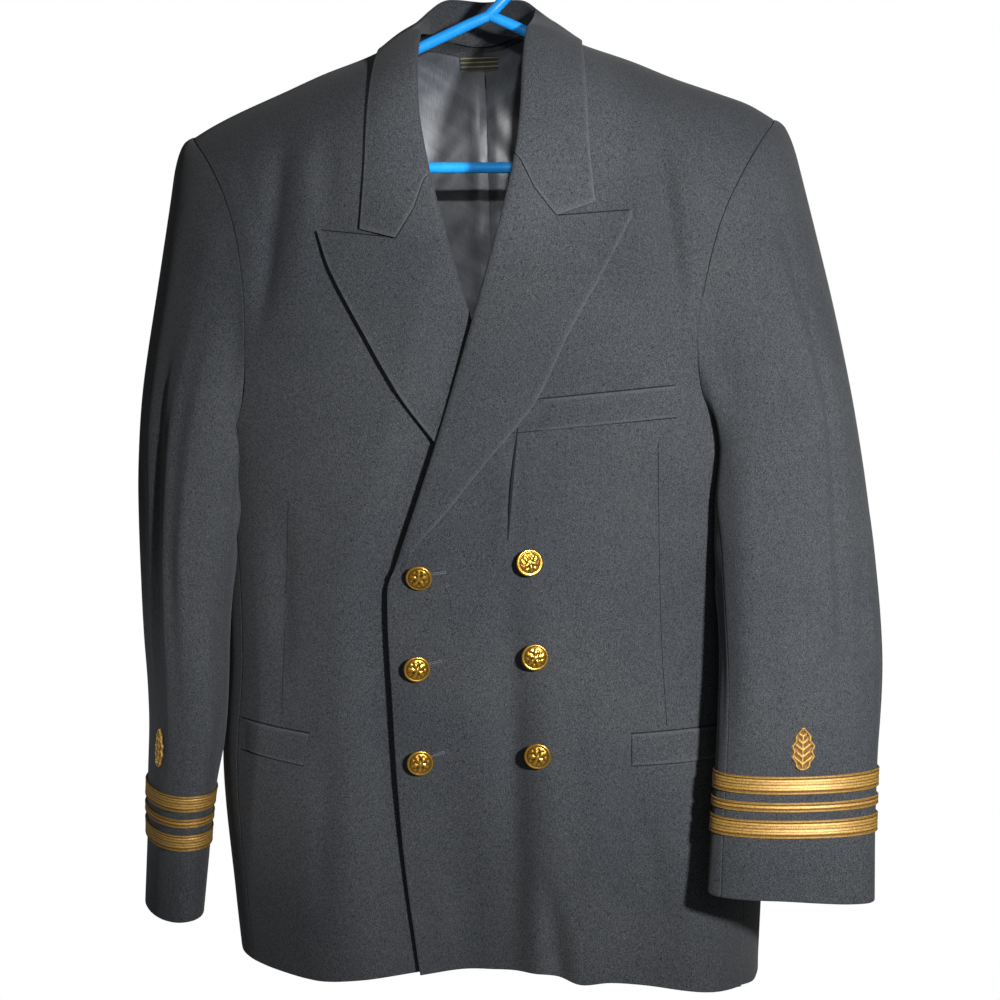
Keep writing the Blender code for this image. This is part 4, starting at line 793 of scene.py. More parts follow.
def collar_half(side):
    low = GORGE[side][0][1] + COLLAR_IN
    heights = np.concatenate([low + np.array([0, 0.4, 0.9, 1.5, 2.6]) * MM,
                              np.linspace(low + 4.5 * MM, CHEST_TOP, CHEST_ROWS)])
    rows = [collar_chest_row(side, z) for z in heights]
    for x, rise, lean_x, lean_y, leaf_x, down in COLLAR_BACK:
        neck_x = x * float(front_inner(side, NECK_Z)) / NECK_RUN
        base = on_back(side, np.array(neck_x), neck_height(side, np.array(neck_x)), -CLOTH)
        base = base + (0, 0, STAND_GAP)
        rise = rise + STAND_MORE[side] * float(smooth(x / STAND_MORE_X))
        fold = base + (SIDES[side] * lean_x, lean_y, rise)
        leaf_x = leaf_x - LEAF_IN[side] * float(smooth(leaf_x / LEAF_IN_X))
        edge = on_back(side, np.array(leaf_x), shoulder_side(side, leaf_x) - down, LAPEL_LIFT)
        stand = unit(fold - base)
        away = unit(edge - fold - stand * (edge - fold).dot(stand))
        top = fold + away * FOLD_OUT[-1]
        row = [base, mix(base, fold, 0.5)]
        row += [fold + away * out + stand * up for out, up in zip(FOLD_OUT, FOLD_UP)]
        row += [mix(top, edge, s) + stand * LEAF_BULGE * math.sin(math.pi * s) for s in LEAF_SHARES]
        rows.append(curve(np.arange(9), np.array(row), COLLAR_COLUMNS))
    return rows


def collar(look):
    coarse = np.array(collar_half("left") + collar_half("right")[-2::-1])
    gaps = np.linalg.norm(np.diff(coarse, axis=0), axis=-1).mean(axis=1)
    keys = np.concatenate([[0], np.cumsum(gaps)])
    places = near_edges(0.0, keys[-1], COLLAR_STEP)
    fine = curve(keys, coarse.reshape(len(coarse), -1), places)
    # the collar's edges lighter: abrasion and a painted highlight
    return wall("collar", fine.reshape(len(places), -1, 3), FACING, look, 1.0, worn_and_lit="rtb")


# Sleeves, in the side's own frame with x towards the side

def clear_of_body(p):
    x, y, z = np.moveaxis(p, -1, 0)
    clear = SLEEVE_CLEAR * smooth((ARMPIT_Z - z) / CLEAR_RUN + CLEAR_START) + BODY_CLEAR
    half = column(TORSO, 1, z) + clear
    depth = np.where(y < 0, column(TORSO, 2, z), column(TORSO, 3, z)) + clear
    reach = (np.abs(x) / half) ** BODY_POWER + (np.abs(y) / depth) ** BODY_POWER
    grow = np.where(reach < 1, np.maximum(reach, 1e-9) ** (-1 / BODY_POWER), 1.0)
    return np.stack([x * grow, y * grow, z], -1)


def sleeve_ring(side, z, turn):
    z, turn = np.broadcast_arrays(np.asarray(z, float), np.asarray(turn, float))
    middle_x, middle_y, long, deep, tilt = (column(SLEEVE[side], k, z) for k in range(1, 6))
    a = np.radians(turn + tilt)
    t = np.radians(tilt)
    way = long * spow(np.cos(a), 2 / SLEEVE_POWER)
    across = deep * spow(np.sin(a), 2 / SLEEVE_POWER)
    x = middle_x + way * np.cos(t) + across * np.sin(t)
    y = middle_y + way * np.sin(t) - across * np.cos(t)
    return clear_of_body(np.stack([x, y, z], -1))


def armhole_loop(side):
    """Coarse armhole points and outward normals from the shoulder, front first."""
    places = []
    for hole, flip in ((ARMHOLE_FRONT[side], False), (ARMHOLE_BACK, True)):
        top = hole[-1][0]
        line = [*hole[:-1], (top, float(shoulder_side(side, top)))]
        angles = [float(front_angle(x, z)) for x, z in line]
        places.append([(180.0 - a if flip else a, z) for a, (x, z) in zip(angles, line)])
    first = float(front_angle(seam_x(ARMPIT_Z) + SEAM, ARMPIT_Z))
    under = [(a, ARMPIT_Z) for a in np.linspace(first, 180.0 - first, SIDE_STEPS)]
    loop = np.array(places[0][::-1] + under + places[1][:-1])
    sign = SIDES[side]
    angle, z = sign * loop[:, 0], loop[:, 1]
    return body_point(angle, z) * (sign, 1, 1), body_normal(angle, z) * (sign, 1, 1)


def ring_turns(points):
    low = len(points) // 2
    turns = []
    closed = np.concatenate([points, points[:1]])
    for part, start in ((closed[:low + 1], 0.0), (closed[low:], 180.0)):
        far = lengths(part, 0)
        turns += list(start + 180.0 * far[:-1] / far[-1])
    return np.array(turns)


def sleeve_heights(side):
    cuff = SLEEVE[side][0, 0]
    low = cuff + LACE_UP[side]
    high = low + LACES_HIGH
    return list(np.linspace(SLEEVE_TOP_Z, high + 8 * MM, 8)) + [mix(low, high, 0.5), low - 2 * MM, cuff]


def sleeve_coarse(side):
    points, normals = armhole_loop(side)
    turns = ring_turns(points)
    edge = np.roll(points, -1, axis=0) - np.roll(points, 1, axis=0)
    flat = unit(np.cross(edge, normals))
    wrong = (flat[:, 0] < 0) | ((np.abs(flat[:, 0]) < 0.3) & (flat[:, 2] < 0))
    flat = np.where(wrong[:, None], -flat, flat)
    lower = smooth((UNDER_Z - points[:, 2]) / UNDER_RUN)[:, None]
    away = unit(mix(flat, unit(normals - (0, 0, UNDER_PITCH)), lower))
    end = sleeve_ring(side, SLEEVE_TOP_Z, turns)
    run = unit(sleeve_ring(side, SLEEVE_TOP_Z - 0.03, turns) - end)
    a = points + away * HOLE_GAP
    b = points + away * CAP_ROLL * (1 - 0.35 * lower)
    c = end - run * np.linalg.norm(end - points, axis=1, keepdims=True) * CAP_DROP
    rows = []
    for t in CAP_STEPS:
        u = 1 - t
        ring = a * u ** 3 + b * 3 * u * u * t + c * 3 * u * t * t + end * t ** 3
        rope = ROPE_SHARE[side] * column(ROPE, 1, t) * smooth((a[:, 2:] - ROPE_Z) / ROPE_RUN)
        ring = ring + rope * (1, 0, ROPE_RISE)
        if t:
            ring = np.where((ring[:, 2] < ARMPIT_Z)[:, None], clear_of_body(ring), ring)
        rows.append(ring)
    rows += [sleeve_ring(side, z, turns) for z in sleeve_heights(side)]
    rows[-1][:, 2] -= CUFF_SLANT[side] * np.maximum(np.cos(np.radians(turns)), 0)
    return np.array(rows), turns


def refine(grid, us, vs):
    """Smooth surface through a coarse tube of points, at given row and column places."""
    rows = curve(np.arange(len(grid)), grid.reshape(len(grid), -1), us).reshape(len(us), -1, 3)
    across = np.swapaxes(rows, 0, 1)
    across = np.concatenate([across[-3:], across, across[:4]])
    made = curve(np.arange(len(across)) - 3, across.reshape(len(across), -1), vs)
    return np.swapaxes(made.reshape(len(vs), len(us), 3), 0, 1)


def fine_places(count, per, tight):
    """Places between 0 and count, with three extra close to each end."""
    inner = np.linspace(0, count, count * per + 1)[1:-1]
    close = np.array([0.0, 1.0, 2.2, 4.0]) * tight
    inner = inner[(inner > 4.5 * tight) & (inner < count - 4.5 * tight)]
    return np.concatenate([close, inner, count - close[::-1]])


def to_world(side, p):
    return p * (SIDES[side], 1, 1) + (JACKET_X, 0, 0)


def sleeve_pieces(side, look):
    coarse, turns = sleeve_coarse(side)
    count, around = coarse.shape[:2]
    us = np.concatenate([
        [0, 0.15, 0.35, 0.6], np.linspace(1, count - 2, (count - 3) * 7 + 1),
        count - 2 + np.linspace(0.1, 0.96, 10), count - 1 - np.array([0.02, 0.01, 0.0])])
    wide_turns = np.concatenate([turns[-3:] - 360, turns, turns[:4] + 360])
    made = []
    for name, first, last in (("top_sleeve_", SEAM_BACK - around, SEAM_FRONT),
                              ("under_sleeve_", SEAM_FRONT, SEAM_BACK)):
        columns = last - first
        vs = first + SEAM_IN + fine_places(columns, 6, 0.02) * (1 - 2 * SEAM_IN / columns)
        vs = np.mod(vs, around)
        ring = refine(coarse, us, vs)
        turn = curve(np.arange(len(wide_turns)) - 3, wide_turns, vs)[None, :]
        z = ring[..., 2]
        calm = smooth((CALM_SLEEVE_Z - z) / CALM_SLEEVE_RUN)
        calm = calm * smooth((z - SLEEVE[side][0, 0] - CALM_CUFF) / CALM_CUFF_RUN)
        height = fold_height(SLEEVE_FOLDS[side], turn, z) + calm * waves(turn, z, SLEEVE_WAVES)
        grid = to_world(side, ring + grid_normals(ring) * height[..., None])
        made.append(wall(name + side, grid, CLOTH, look, SIDES[side]))
    return made


def cuff_point(side, z, turn, lift):
    p = sleeve_ring(side, z, turn)
    around = sleeve_ring(side, z, turn + 1) - sleeve_ring(side, z, turn - 1)
    up = sleeve_ring(side, z + MM, turn) - sleeve_ring(side, z - MM, turn)
    normal = unit(np.cross(up, around))
    centre = np.stack([column(SLEEVE[side], 1, z), column(SLEEVE[side], 2, z), z], -1)
    flip = np.sign((normal * (p - centre)).sum(-1))[..., None]
    return to_world(side, p + normal * flip * lift[..., None])


def lace_profile(width):
    """Places across a lace and its height there: cords at the edges, a band between."""
    half = width / 2
    far = np.concatenate([CORD_STEPS, np.linspace(CORD_STEPS[-1], half, 5)[1:]])
    cord = np.sqrt(np.maximum(1 - (far / (CORD_WIDE / 2) - 1) ** 2, 0))
    band = smooth((far - CORD_WIDE - 0.2 * MM) / (0.5 * MM)) * 0.8
    if width == WIDE_LACE:
        band = band * (1 - 0.45 * hump(far - half, 0.6 * MM))
    high = np.where(far <= CORD_WIDE, cord, band)
    return np.concatenate([far, width - far[-2::-1]]), np.concatenate([high, high[-2::-1]])


def lace(side, look):
    made = []
    low = SLEEVE[side][0, 0] + LACE_UP[side]
    turns = np.linspace(0, 360, LACE_POINTS + 1)[:-1]
    for number, width in enumerate((WIDE_LACE, NARROW_LACE, WIDE_LACE), start=1):
        places, high = lace_profile(width)
        z = (low + places)[:, None] + 0 * turns
        lift = (LACE_SEAT + LACE_THICK * (0.35 + 0.65 * high))[:, None] + 0 * z
        grid = cuff_point(side, z, turns, lift)
        inner = cuff_point(side, z, turns, LACE_SEAT + 0 * z)
        far = lengths(np.concatenate([grid, grid[:, :1]], axis=1), 1)[:, :-1]
        made.append(close_wall("lace_%s_%d" % (side, number), grid, inner, look, (far, lengths(grid, 0)),
                               (high[:, None], 0.0), looped=True))
        low += width + LACE_GAP
    return made


def leaf(side, look):
    """Plain pointed leaf in metal thread: scalloped corded edge, midrib and slanting veins."""
    low = SLEEVE[side][0, 0] + LACE_UP[side] + LACES_HIGH + LEAF_UP[side]
    share, across = np.meshgrid(np.linspace(0.004, 0.996, 121), np.linspace(-1, 1, 49), indexing="ij")
    scallop = 0.90 + 0.10 * np.cos(2 * np.pi * (share * LEAF_LOBES - 0.25))
    half = np.sin(np.pi * share ** 0.85) ** 0.62 * scallop * LEAF_WIDE / 2 + 0.2 * MM
    x_off = across * half
    z = low + share * LEAF_LONG
    inside = np.minimum((1 - np.abs(across)) * half, np.minimum(share, 1 - share) * LEAF_LONG)
    ripple = 0.5 + 0.5 * np.cos(2 * np.pi * (share * LEAF_LONG - 0.9 * np.abs(x_off)) / LEAF_VEINS)
    rib = hump(x_off, LEAF_RIB) * smooth((0.85 - share) / 0.1)
    within = smooth((inside - LEAF_WITHIN) / (0.6 * MM))
    high = np.maximum(hump(inside - LEAF_CORD, LEAF_CORD_WIDE), within * np.maximum(ripple * 0.9, rib))
    lift = LACE_SEAT + (0.5 + 1.5 * high) * MM * smooth(inside / (0.35 * MM) + 0.15)
    long, deep, tilt = (column(SLEEVE[side], k, z) for k in (3, 4, 5))
    base = np.radians(LEAF_TURN[side] + tilt)
    turn = LEAF_TURN[side] - np.degrees(x_off / np.hypot(long * np.sin(base), deep * np.cos(base)))
    grid = cuff_point(side, z, turn, lift)
    under = cuff_point(side, z, turn, LACE_SEAT + 0 * lift)
    return close_wall("leaf_" + side, grid, under, look, (x_off, z - low), (high, 0.0))


# Pockets, lining and label

def welt(name, side, corners, look, sunk=(0.0, 0.0)):
    """Pocket welt; its inner and outer ends rise out of the front over the sunk lengths."""
    (x0, z0), (x1, z1), (x2, z2), (x3, z3) = corners
    v = near_edges(0.0, WELT_HIGH, WELT_STEPS[0])[:, None] / WELT_HIGH
    long = x1 - x0
    u = near_edges(0.0, long, WELT_STEPS[1])[None, :] / long
    x = mix(mix(x0, x1, u), mix(x3, x2, u), v)
    z = mix(mix(z0, z1, u), mix(z3, z2, u), v)
    crown = 0.4 * MM * np.sin(np.pi * v) ** 0.5 + 0 * u
    stitch = 0.25 * MM * np.exp(-((1 - v) * WELT_HIGH / MM - 3.0) ** 2 / 0.5)
    lift = WELT_LIFT + crown - stitch
    for share, run in zip((u, 1 - u), sunk):
        if run:
            lift = mix(WELT_END, lift, smooth(share * long / run))
    # the welt's top and bottom edges lighter: abrasion and a painted highlight
    return wall(name, on_front(side, x, z, lift), WELT_THICK, look, SIDES[side], worn_and_lit="bt")


def lining_back(side, look):
    x, z = back_places(side)
    low = np.argmax(z[:, 0] > LINING_LOW)
    x, z = x[low:-2, :-12], z[low:-2, :-12]
    slant = np.sin((x + z * 0.8) * 150 + 2.0 * np.sin(z * 30 + x * 14)) * np.sin(z * 37 + x * 23 + 1.0)
    fold = LINING_WAVE * (slant * smooth(x / 0.012) - 1)
    fold = fold - PLEAT * hump(x - PLEAT_X, PLEAT_WIDE)
    for end, way in zip(LINING_ENDS, (1, -1)):
        fold = fold * smooth(way * (z - end) / LINING_FADE)
    grid = on_back(side, x, z, fold - CLOTH - LINING_GAP)
    return wall("lining_back_" + side, grid, LINING, look, -SIDES[side], radius=0.5 * MM)


def lining_seam(look):
    """Dark line of painted shade down the middle seam of the lining."""
    z = np.linspace(*SEAM_LINE, 40)
    path = skin(back_angle(0 * z + 0.1 * MM, z), z, -CLOTH - LINING_GAP - LINING - 0.2 * MM)
    return tube_mesh("lining_seam", path, 0.7 * MM, look, sides=8)


def label(look):
    z = near_edges(*LABEL_Z, LABEL_STEPS[0])[:, None]
    x = near_edges(*LABEL_X, LABEL_STEPS[1])[None, :]
    grid = skin(back_angle(x, z), z, -CLOTH - LINING_GAP - LINING - LABEL_LIFT)
    return wall("label", grid, LABEL_THICK, look, -1.0, radius=LABEL_THICK / 2)


# Buttons

def button_shape():
    """Points of a button: domed face, beaded rim, flower relief and shank."""
    turn = np.linspace(0, 2 * math.pi, BUTTON_SIDES, endpoint=False)
    rad = BUTTON_PROFILE[:, :1] + 0 * turn
    face = np.arange(len(BUTTON_PROFILE))[:, None] < BUTTON_FACE_ROWS
    relief = sum(high * np.cos(lobes * turn + start) * hump(rad - middle, width)
                 for high, middle, width, lobes, start in BUTTON_RELIEF)
    relief = np.where(face, relief, 0)
    wide = rad * BUTTON_WIDE / 2
    points = np.stack([wide * np.cos(turn), wide * np.sin(turn), (BUTTON_PROFILE[:, 1:] + relief) * MM], -1)
    return points, relief


def buttons(look):
    grid, relief = button_shape()
    quads = cell_faces(*grid.shape[:2], True)
    made = []
    for number, ((x, z), (across, up)) in enumerate(zip(BUTTONS, BUTTON_LEAN), start=1):
        angle = front_angle(x, z)
        square = unit(body_normal(angle, z) + BUTTON_FACE)
        normal = unit(square + (across, 0.0, up))
        cos = float(square.dot(normal))
        sink = BUTTON_WIDE / 2 * math.sqrt(max(1 - cos * cos, 0)) - BUTTON_RIM_Z * cos
        seat = skin(angle, z) + square * max(sink, 0.0) + normal * 0.3 * MM
        turn = Vector(normal).to_track_quat("Z", "Y").to_matrix().to_4x4()
        spin = Matrix.Rotation(math.radians(BUTTON_SPIN * number), 4, "Z")
        piece = add_mesh("button_%d" % number, grid, quads, look)
        add_tone(piece, relief)
        piece.data.transform(Matrix.Translation(Vector(seat)) @ turn @ spin)
        made.append(piece)
    return made


# Tubes: dark lines of painted shade at seams, darts, welts and lapel peaks, buttonhole stitching and the
# hanger

def tube_mesh(name, path, radius, look, closed=False, sides=20):
    """Round tube along a path, its free ends domed."""
    path = np.array(path, float)
    radii = np.zeros(len(path)) + radius
    if closed:
        tangent = unit(np.roll(path, -1, axis=0) - np.roll(path, 1, axis=0))
    else:
        tangent = unit(np.gradient(path, axis=0))
        caps = np.array([0.0, 0.5, 0.8, 0.95])
        back = np.sqrt(1 - caps * caps)[:, None]
        path = np.concatenate([path[0] - tangent[0] * radii[0] * back, path,
                               path[-1] + tangent[-1] * radii[-1] * back[::-1]])
        radii = np.concatenate([caps * radii[0] + 1e-5, radii, caps[::-1] * radii[-1] + 1e-5])
        tangent = np.concatenate([[tangent[0]] * 4, tangent, [tangent[-1]] * 4])
    one = unit(np.array([0.0, 1.0, 0.0]) - tangent * tangent[:, 1:2])
    two = np.cross(tangent, one)
    a = np.linspace(0, 2 * math.pi, sides, endpoint=False)[:, None]
    grid = path[:, None] + radii[:, None, None] * (np.cos(a) * one[:, None] + np.sin(a) * two[:, None])
    if closed:
        grid = np.concatenate([grid, grid[:1]])
    piece = add_mesh(name, grid, cell_faces(len(grid), sides, True), look)
    make_outward(piece)
    return piece


def sunk_line(name, side, points, radius, sunk, look, fat=0.0):
    """Thin round line half sunk in the front, through points given as own x and z: stitching, or a dark
    line of painted shade.

    fat is how much thicker it is at its middle than at its ends.
    """
    line = along(points, 12 * len(points))
    radii = radius + fat * np.sin(np.linspace(0, math.pi, len(line)))
    return tube_mesh(name, on_front(side, line[:, 0], line[:, 1], radii - sunk), radii, look, sides=8)


def straight_line(name, side, ends, kind, look, shares=(0.0, 0.35, 0.7, 1.0)):
    """A sunk line between two points, moved up: stitching, or a dark line of painted shade."""
    first, last = (np.array(end) for end in ends)
    up, radius, sunk = kind
    line = np.array([mix(first, last, t) + (0, up) for t in shares])
    return sunk_line(name, side, line, radius, sunk, look)


def welt_shade_lines(name, side, corners, look, start=None):
    """Dark lines of painted shade at the mouth above a welt and along the seam under it."""
    low, low_end, high_end, high = corners
    low = low if start is None else start
    return [straight_line(name + "_mouth_shadow", side, (high, high_end), MOUTH_SHADOW, look),
            straight_line(name + "_seam", side, (low, low_end), WELT_SEAM_SHADE, look)]


def peak_shadow_line(side, look):
    """Dark line of painted shadow above the free top edge of a lapel, from the notch to the peak."""
    return straight_line("peak_shadow_line_" + side, side, GORGE[side][1:3], PEAK_SHADOW, look,
                         (0.02, 0.35, 0.7, 0.97))


# Dark lines of painted shadow along the darts, thickest at their middles
def dart_shadow_lines(side, look):
    return [sunk_line("dart_%s_%d" % (side, number), side, points, radius, sunk, look, fat)
            for number, (radius, sunk, fat, points) in enumerate(DART_SHADOWS[side], start=1)]


def armhole_shade_line(side, look):
    """Dark line of painted shade in the seam between a front and the sleeve head."""
    line = ARMHOLE_FRONT[side][2:].copy()
    up, radius, sunk = ARMHOLE_SHADE_LINE
    line[-1, 1] = shoulder_side(side, line[-1, 0]) + up
    return sunk_line("armhole_seam_" + side, side, line, radius, sunk, look)


def buttonholes(look):
    """Keyhole stitching beside the buttons on the edge."""
    made = []
    turn = np.linspace(-2.5, 2.5, 15)
    neck = 0.6 * HOLE_LONG
    way = np.concatenate([[HOLE_START, neck], HOLE_LONG + HOLE_EYE * np.cos(turn), [neck, HOLE_START]])
    half, radius, sunk = HOLE_LINE
    off = np.concatenate([[-half] * 2, HOLE_EYE * np.sin(turn), [half] * 2])
    for number, ((x, z), slope) in enumerate(zip(BUTTONS, HOLE_SLOPES), start=1):
        c, q = math.cos(slope), math.sin(slope)
        line = np.stack([x + way * c - off * q, z + way * q + off * c], -1)
        made.append(sunk_line("buttonhole_%d" % number, "left", line, radius, sunk, look))
    return made


def arc(z, radius, first, last, count, x=0.0):
    """Points of an arc in the hanger's plane, from one angle in degrees to another."""
    turn = np.radians(np.linspace(first, last, count))
    return np.stack([x + radius * np.cos(turn), 0 * turn, z + radius * np.sin(turn)], -1)


def hanger(look):
    end_z = APEX_Z - ARM_SLOPE * ARM_HALF
    slope = math.atan(ARM_SLOPE)
    radius = 0.5 * (end_z - BAR_Z) / math.cos(0.5 * slope)
    apex = np.array([0, 0, APEX_Z])
    bend = arc(BAR_Z + radius, radius, 90.0 - math.degrees(slope), -90.0, 22, ARM_HALF)
    arm = [mix(apex, bend[0], t) for t in np.linspace(0, 1, 14)[1:-1]]
    half = np.concatenate([arm, bend])
    path = np.concatenate([[apex - (0, 0, 0.6 * MM)], half, half[::-1] * (-1, 1, 1)])
    turn = np.array(Matrix.Rotation(TILT, 3, "Y"))
    loop = tube_mesh("hanger", (path - apex) @ turn.T + apex, TUBE, look, closed=True)
    hook_z = TUBE - HOOK_RADIUS
    lean = math.degrees(math.asin(HOOK_RADIUS / (hook_z - APEX_Z)))
    hook = arc(hook_z, HOOK_RADIUS, -lean, HOOK_END, 40)
    foot = [mix(apex, hook[0], t) for t in (0.0, 0.3, 0.6, 0.85)]
    return loop, tube_mesh("hanger_hook", np.concatenate([foot, hook]), TUBE, look)


# Materials

def feed(tree, made, inputs):
    """Sets a node's inputs: sockets are linked, all else is a fixed value."""
    for key, value in inputs.items():
        if isinstance(value, bpy.types.NodeSocket):
            tree.links.new(value, made.inputs[key])
        else:
            made.inputs[key].default_value = value


def node(tree, kind, out, inputs, **settings):
    """The output of a new node."""
    made = tree.nodes.new("ShaderNode" + kind)
    for key, value in settings.items():
        setattr(made, key, value)
    feed(tree, made, inputs)
    return made.outputs[out]


def new_material(name, colour, roughness, metallic=0.0):
    made = bpy.data.materials.new(name)
    made.use_nodes = True
    tree = made.node_tree
    shader = tree.nodes["Principled BSDF"]
    feed(tree, shader, {"Base Color": (*colour, 1.0), "Roughness": roughness, "Metallic": metallic})
    return made, tree, shader


def cloth_uv(tree):
    return node(tree, "UVMap", "UV", {}, uv_map="cloth")


def object_place(tree):
    return node(tree, "TexCoord", "Object", {})


def relief_of(tree):
    return node(tree, "Attribute", "Fac", {}, attribute_name="relief")


def noise(tree, vector, scale, detail=3.0, rough=0.5, stretch=None):
    if stretch:
        vector = node(tree, "Mapping", "Vector", {"Scale": stretch, "Vector": vector})
    return node(tree, "TexNoise", "Fac",
                {"Scale": scale, "Detail": detail, "Roughness": rough, "Vector": vector})


def slanted(tree, vector, turn, size):
    """A vector turned and divided by a size, to draw a texture out along a slant."""
    return node(tree, "Mapping", "Vector", {
        "Rotation": (0.0, 0.0, math.radians(turn)), "Scale": (size[0] * MM, size[1] * MM, 1.0),
        "Vector": vector}, vector_type="TEXTURE")


def math_node(tree, kind, a, b=0.0):
    return node(tree, "Math", "Value", {0: a, 1: b}, operation=kind)


def blend_of(tree, *parts):
    """Weighted sum of values."""
    total = None
    for value, weight in parts:
        scaled = math_node(tree, "MULTIPLY", value, weight)
        total = scaled if total is None else math_node(tree, "ADD", total, scaled)
    return total


def stripes(tree, uv, kind, pitch):
    """A wave across the cloth."""
    across = node(tree, "SeparateXYZ", "Y", {"Vector": uv})
    return math_node(tree, kind, math_node(tree, "MULTIPLY", across, 2 * math.pi / pitch))


def spread(tree, value, low, high, out_low=0.0, out_high=1.0):
    """A value stretched from one range to another."""
    return node(tree, "MapRange", "Result", {
        "From Min": low, "From Max": high, "To Min": out_low, "To Max": out_high, "Value": value})


def mixed(tree, factor, a, b, **settings):
    """Mix of two colours, each fixed or a socket."""
    a, b = ((*colour, 1.0) if isinstance(colour, tuple) else colour for colour in (a, b))
    return node(tree, "Mix", "Result", {"Factor": factor, "A": a, "B": b}, data_type="RGBA", **settings)


def ramp(tree, value, span, low, high):
    """Colour between two colours while a value crosses a span."""
    return mixed(tree, spread(tree, value, *span) if span else value, low, high)


def multiplied(tree, a, b):
    return mixed(tree, 1.0, a, b, blend_type="MULTIPLY")


def bump(tree, height, strength, distance):
    return node(tree, "Bump", "Normal", {"Strength": strength, "Distance": distance, "Height": height})


def wool_material():
    """Charcoal wool: a slanting twill under a peppery grain, slubs and slow uneven tone from use; its
    chosen edges lighter, partly from abrasion and partly a painted highlight.
    """
    made, tree, shader = new_material("wool_cloth", (0.04, 0.044, 0.050), 0.86)
    place, edge = object_place(tree), relief_of(tree)
    twill = noise(tree, slanted(tree, cloth_uv(tree), 52.0, (3.2, 0.75)), 1.0, 2.0)
    grain = noise(tree, place, 1500.0, 1.0)
    slub = noise(tree, place, 900.0, 2.0, 0.6, (1.0, 1.0, 0.45))
    weave = blend_of(tree, (twill, 0.18), (grain, 0.60), (slub, 0.22))
    fine = ramp(tree, weave, (0.36, 0.64), (0.007, 0.009, 0.011), (0.074, 0.0785, 0.087))
    slow = noise(tree, place, 7.0, 4.0, 0.6)
    tint = ramp(tree, slow, (0.35, 0.65), (0.88, 0.89, 0.91), (1.12, 1.11, 1.08))
    # edges lighter: abrasion and a painted highlight, read from the edge tone
    rub_and_highlight = ramp(tree, edge, None, (1.0, 1.0, 1.0), (1.32, 1.32, 1.30))
    worn_and_lit = mixed(tree, math_node(tree, "MULTIPLY", edge, 0.45), fine, (0.062, 0.066, 0.073))
    feed(tree, shader, {
        "Base Color": multiplied(tree, multiplied(tree, worn_and_lit, tint), rub_and_highlight),
        "Sheen Weight": 0.08, "Sheen Roughness": 0.5, "Specular IOR Level": 0.2,
        "Normal": bump(tree, weave, 0.45, 0.3 * MM)})
    return made


def thread_material(name, low, high):
    """Twisted thread, for real stitching and for dark lines of painted shade."""
    made, tree, shader = new_material(name, high, 0.75)
    twist = noise(tree, object_place(tree), 1400.0, 2.0)
    feed(tree, shader, {"Base Color": ramp(tree, twist, (0.3, 0.7), low, high), "Specular IOR Level": 0.2,
                        "Normal": bump(tree, twist, 0.5, 0.2 * MM)})
    return made


def satin_material():
    """Grey satin lining with long diagonal painted highlights over its grain."""
    made, tree, shader = new_material("satin_lining", (0.08, 0.085, 0.095), 0.34)
    uv = cloth_uv(tree)
    grain = noise(tree, slanted(tree, uv, 90.0, (12.0, 0.5)), 1.0, 2.0)
    # painted highlights: long slanting streaks that lighten the satin
    light = noise(tree, slanted(tree, uv, 38.0, (90.0, 16.0)), 1.0, 3.0, 0.6)
    base = ramp(tree, grain, (0.3, 0.7), (0.066, 0.071, 0.079), (0.112, 0.119, 0.130))
    painted_highlight = ramp(tree, light, (0.40, 0.66), (0.82, 0.83, 0.85), (1.40, 1.40, 1.42))
    feed(tree, shader, {
        "Base Color": multiplied(tree, base, painted_highlight),
        "Roughness": spread(tree, grain, 0.3, 0.7, 0.30, 0.44),
        "Specular IOR Level": 0.6, "Anisotropic": 0.5, "Normal": bump(tree, grain, 0.2, 0.2 * MM)})
    return made


def gold_material(name, ribbed):
    """Gold thread: slanting, bright on the cords, with painted shade darkening the grooves, ribbed along a
    lace.
    """
    made, tree, shader = new_material(name, (0.50, 0.34, 0.11), 0.48, 0.35)
    uv = cloth_uv(tree)
    thread = noise(tree, slanted(tree, uv, 62.0, (3.0, 0.7)), 1.0, 2.0)
    slub = noise(tree, uv, 900.0, 3.0, 0.6)
    tone = blend_of(tree, (thread, 0.55), (slub, 0.45))
    colour = ramp(tree, tone, (0.34, 0.64), (0.20, 0.105, 0.016), (0.68, 0.42, 0.112))
    # painted shade: the low parts of the relief, the lace's grooves and the leaf's hollows, darkened
    depth = ramp(tree, relief_of(tree), (0.10, 0.75), (0.26, 0.21, 0.16), (1.0, 1.0, 1.0))
    colour = multiplied(tree, colour, depth)
    if ribbed:
        wave = stripes(tree, uv, "SINE", RIB)
        ribs = ramp(tree, wave, (-0.9, 0.1), (0.50, 0.42, 0.32), (1.0, 1.0, 1.0))
        colour = multiplied(tree, colour, ribs)
    feed(tree, shader, {"Base Color": colour, "Roughness": spread(tree, slub, 0.3, 0.7, 0.36, 0.60),
                        "Normal": bump(tree, tone, 0.7, 0.3 * MM)})
    return made


def brass_material():
    """Gilt brass, with painted shade darkening the recesses of the relief."""
    made, tree, shader = new_material("gilt_brass", (0.86, 0.58, 0.16), 0.26, 0.9)
    speck = noise(tree, object_place(tree), 900.0, 3.0, 0.6)
    # painted shade: darker where the relief is low, with random specks
    level = blend_of(tree, (spread(tree, relief_of(tree), -0.30, 0.22), 0.85), (speck, 0.25))
    feed(tree, shader, {"Base Color": ramp(tree, level, None, (0.14, 0.056, 0.007), (0.80, 0.45, 0.072)),
                        "Roughness": spread(tree, speck, 0.3, 0.7, 0.22, 0.38),
                        "Normal": bump(tree, speck, 0.25, 0.15 * MM)})
    return made


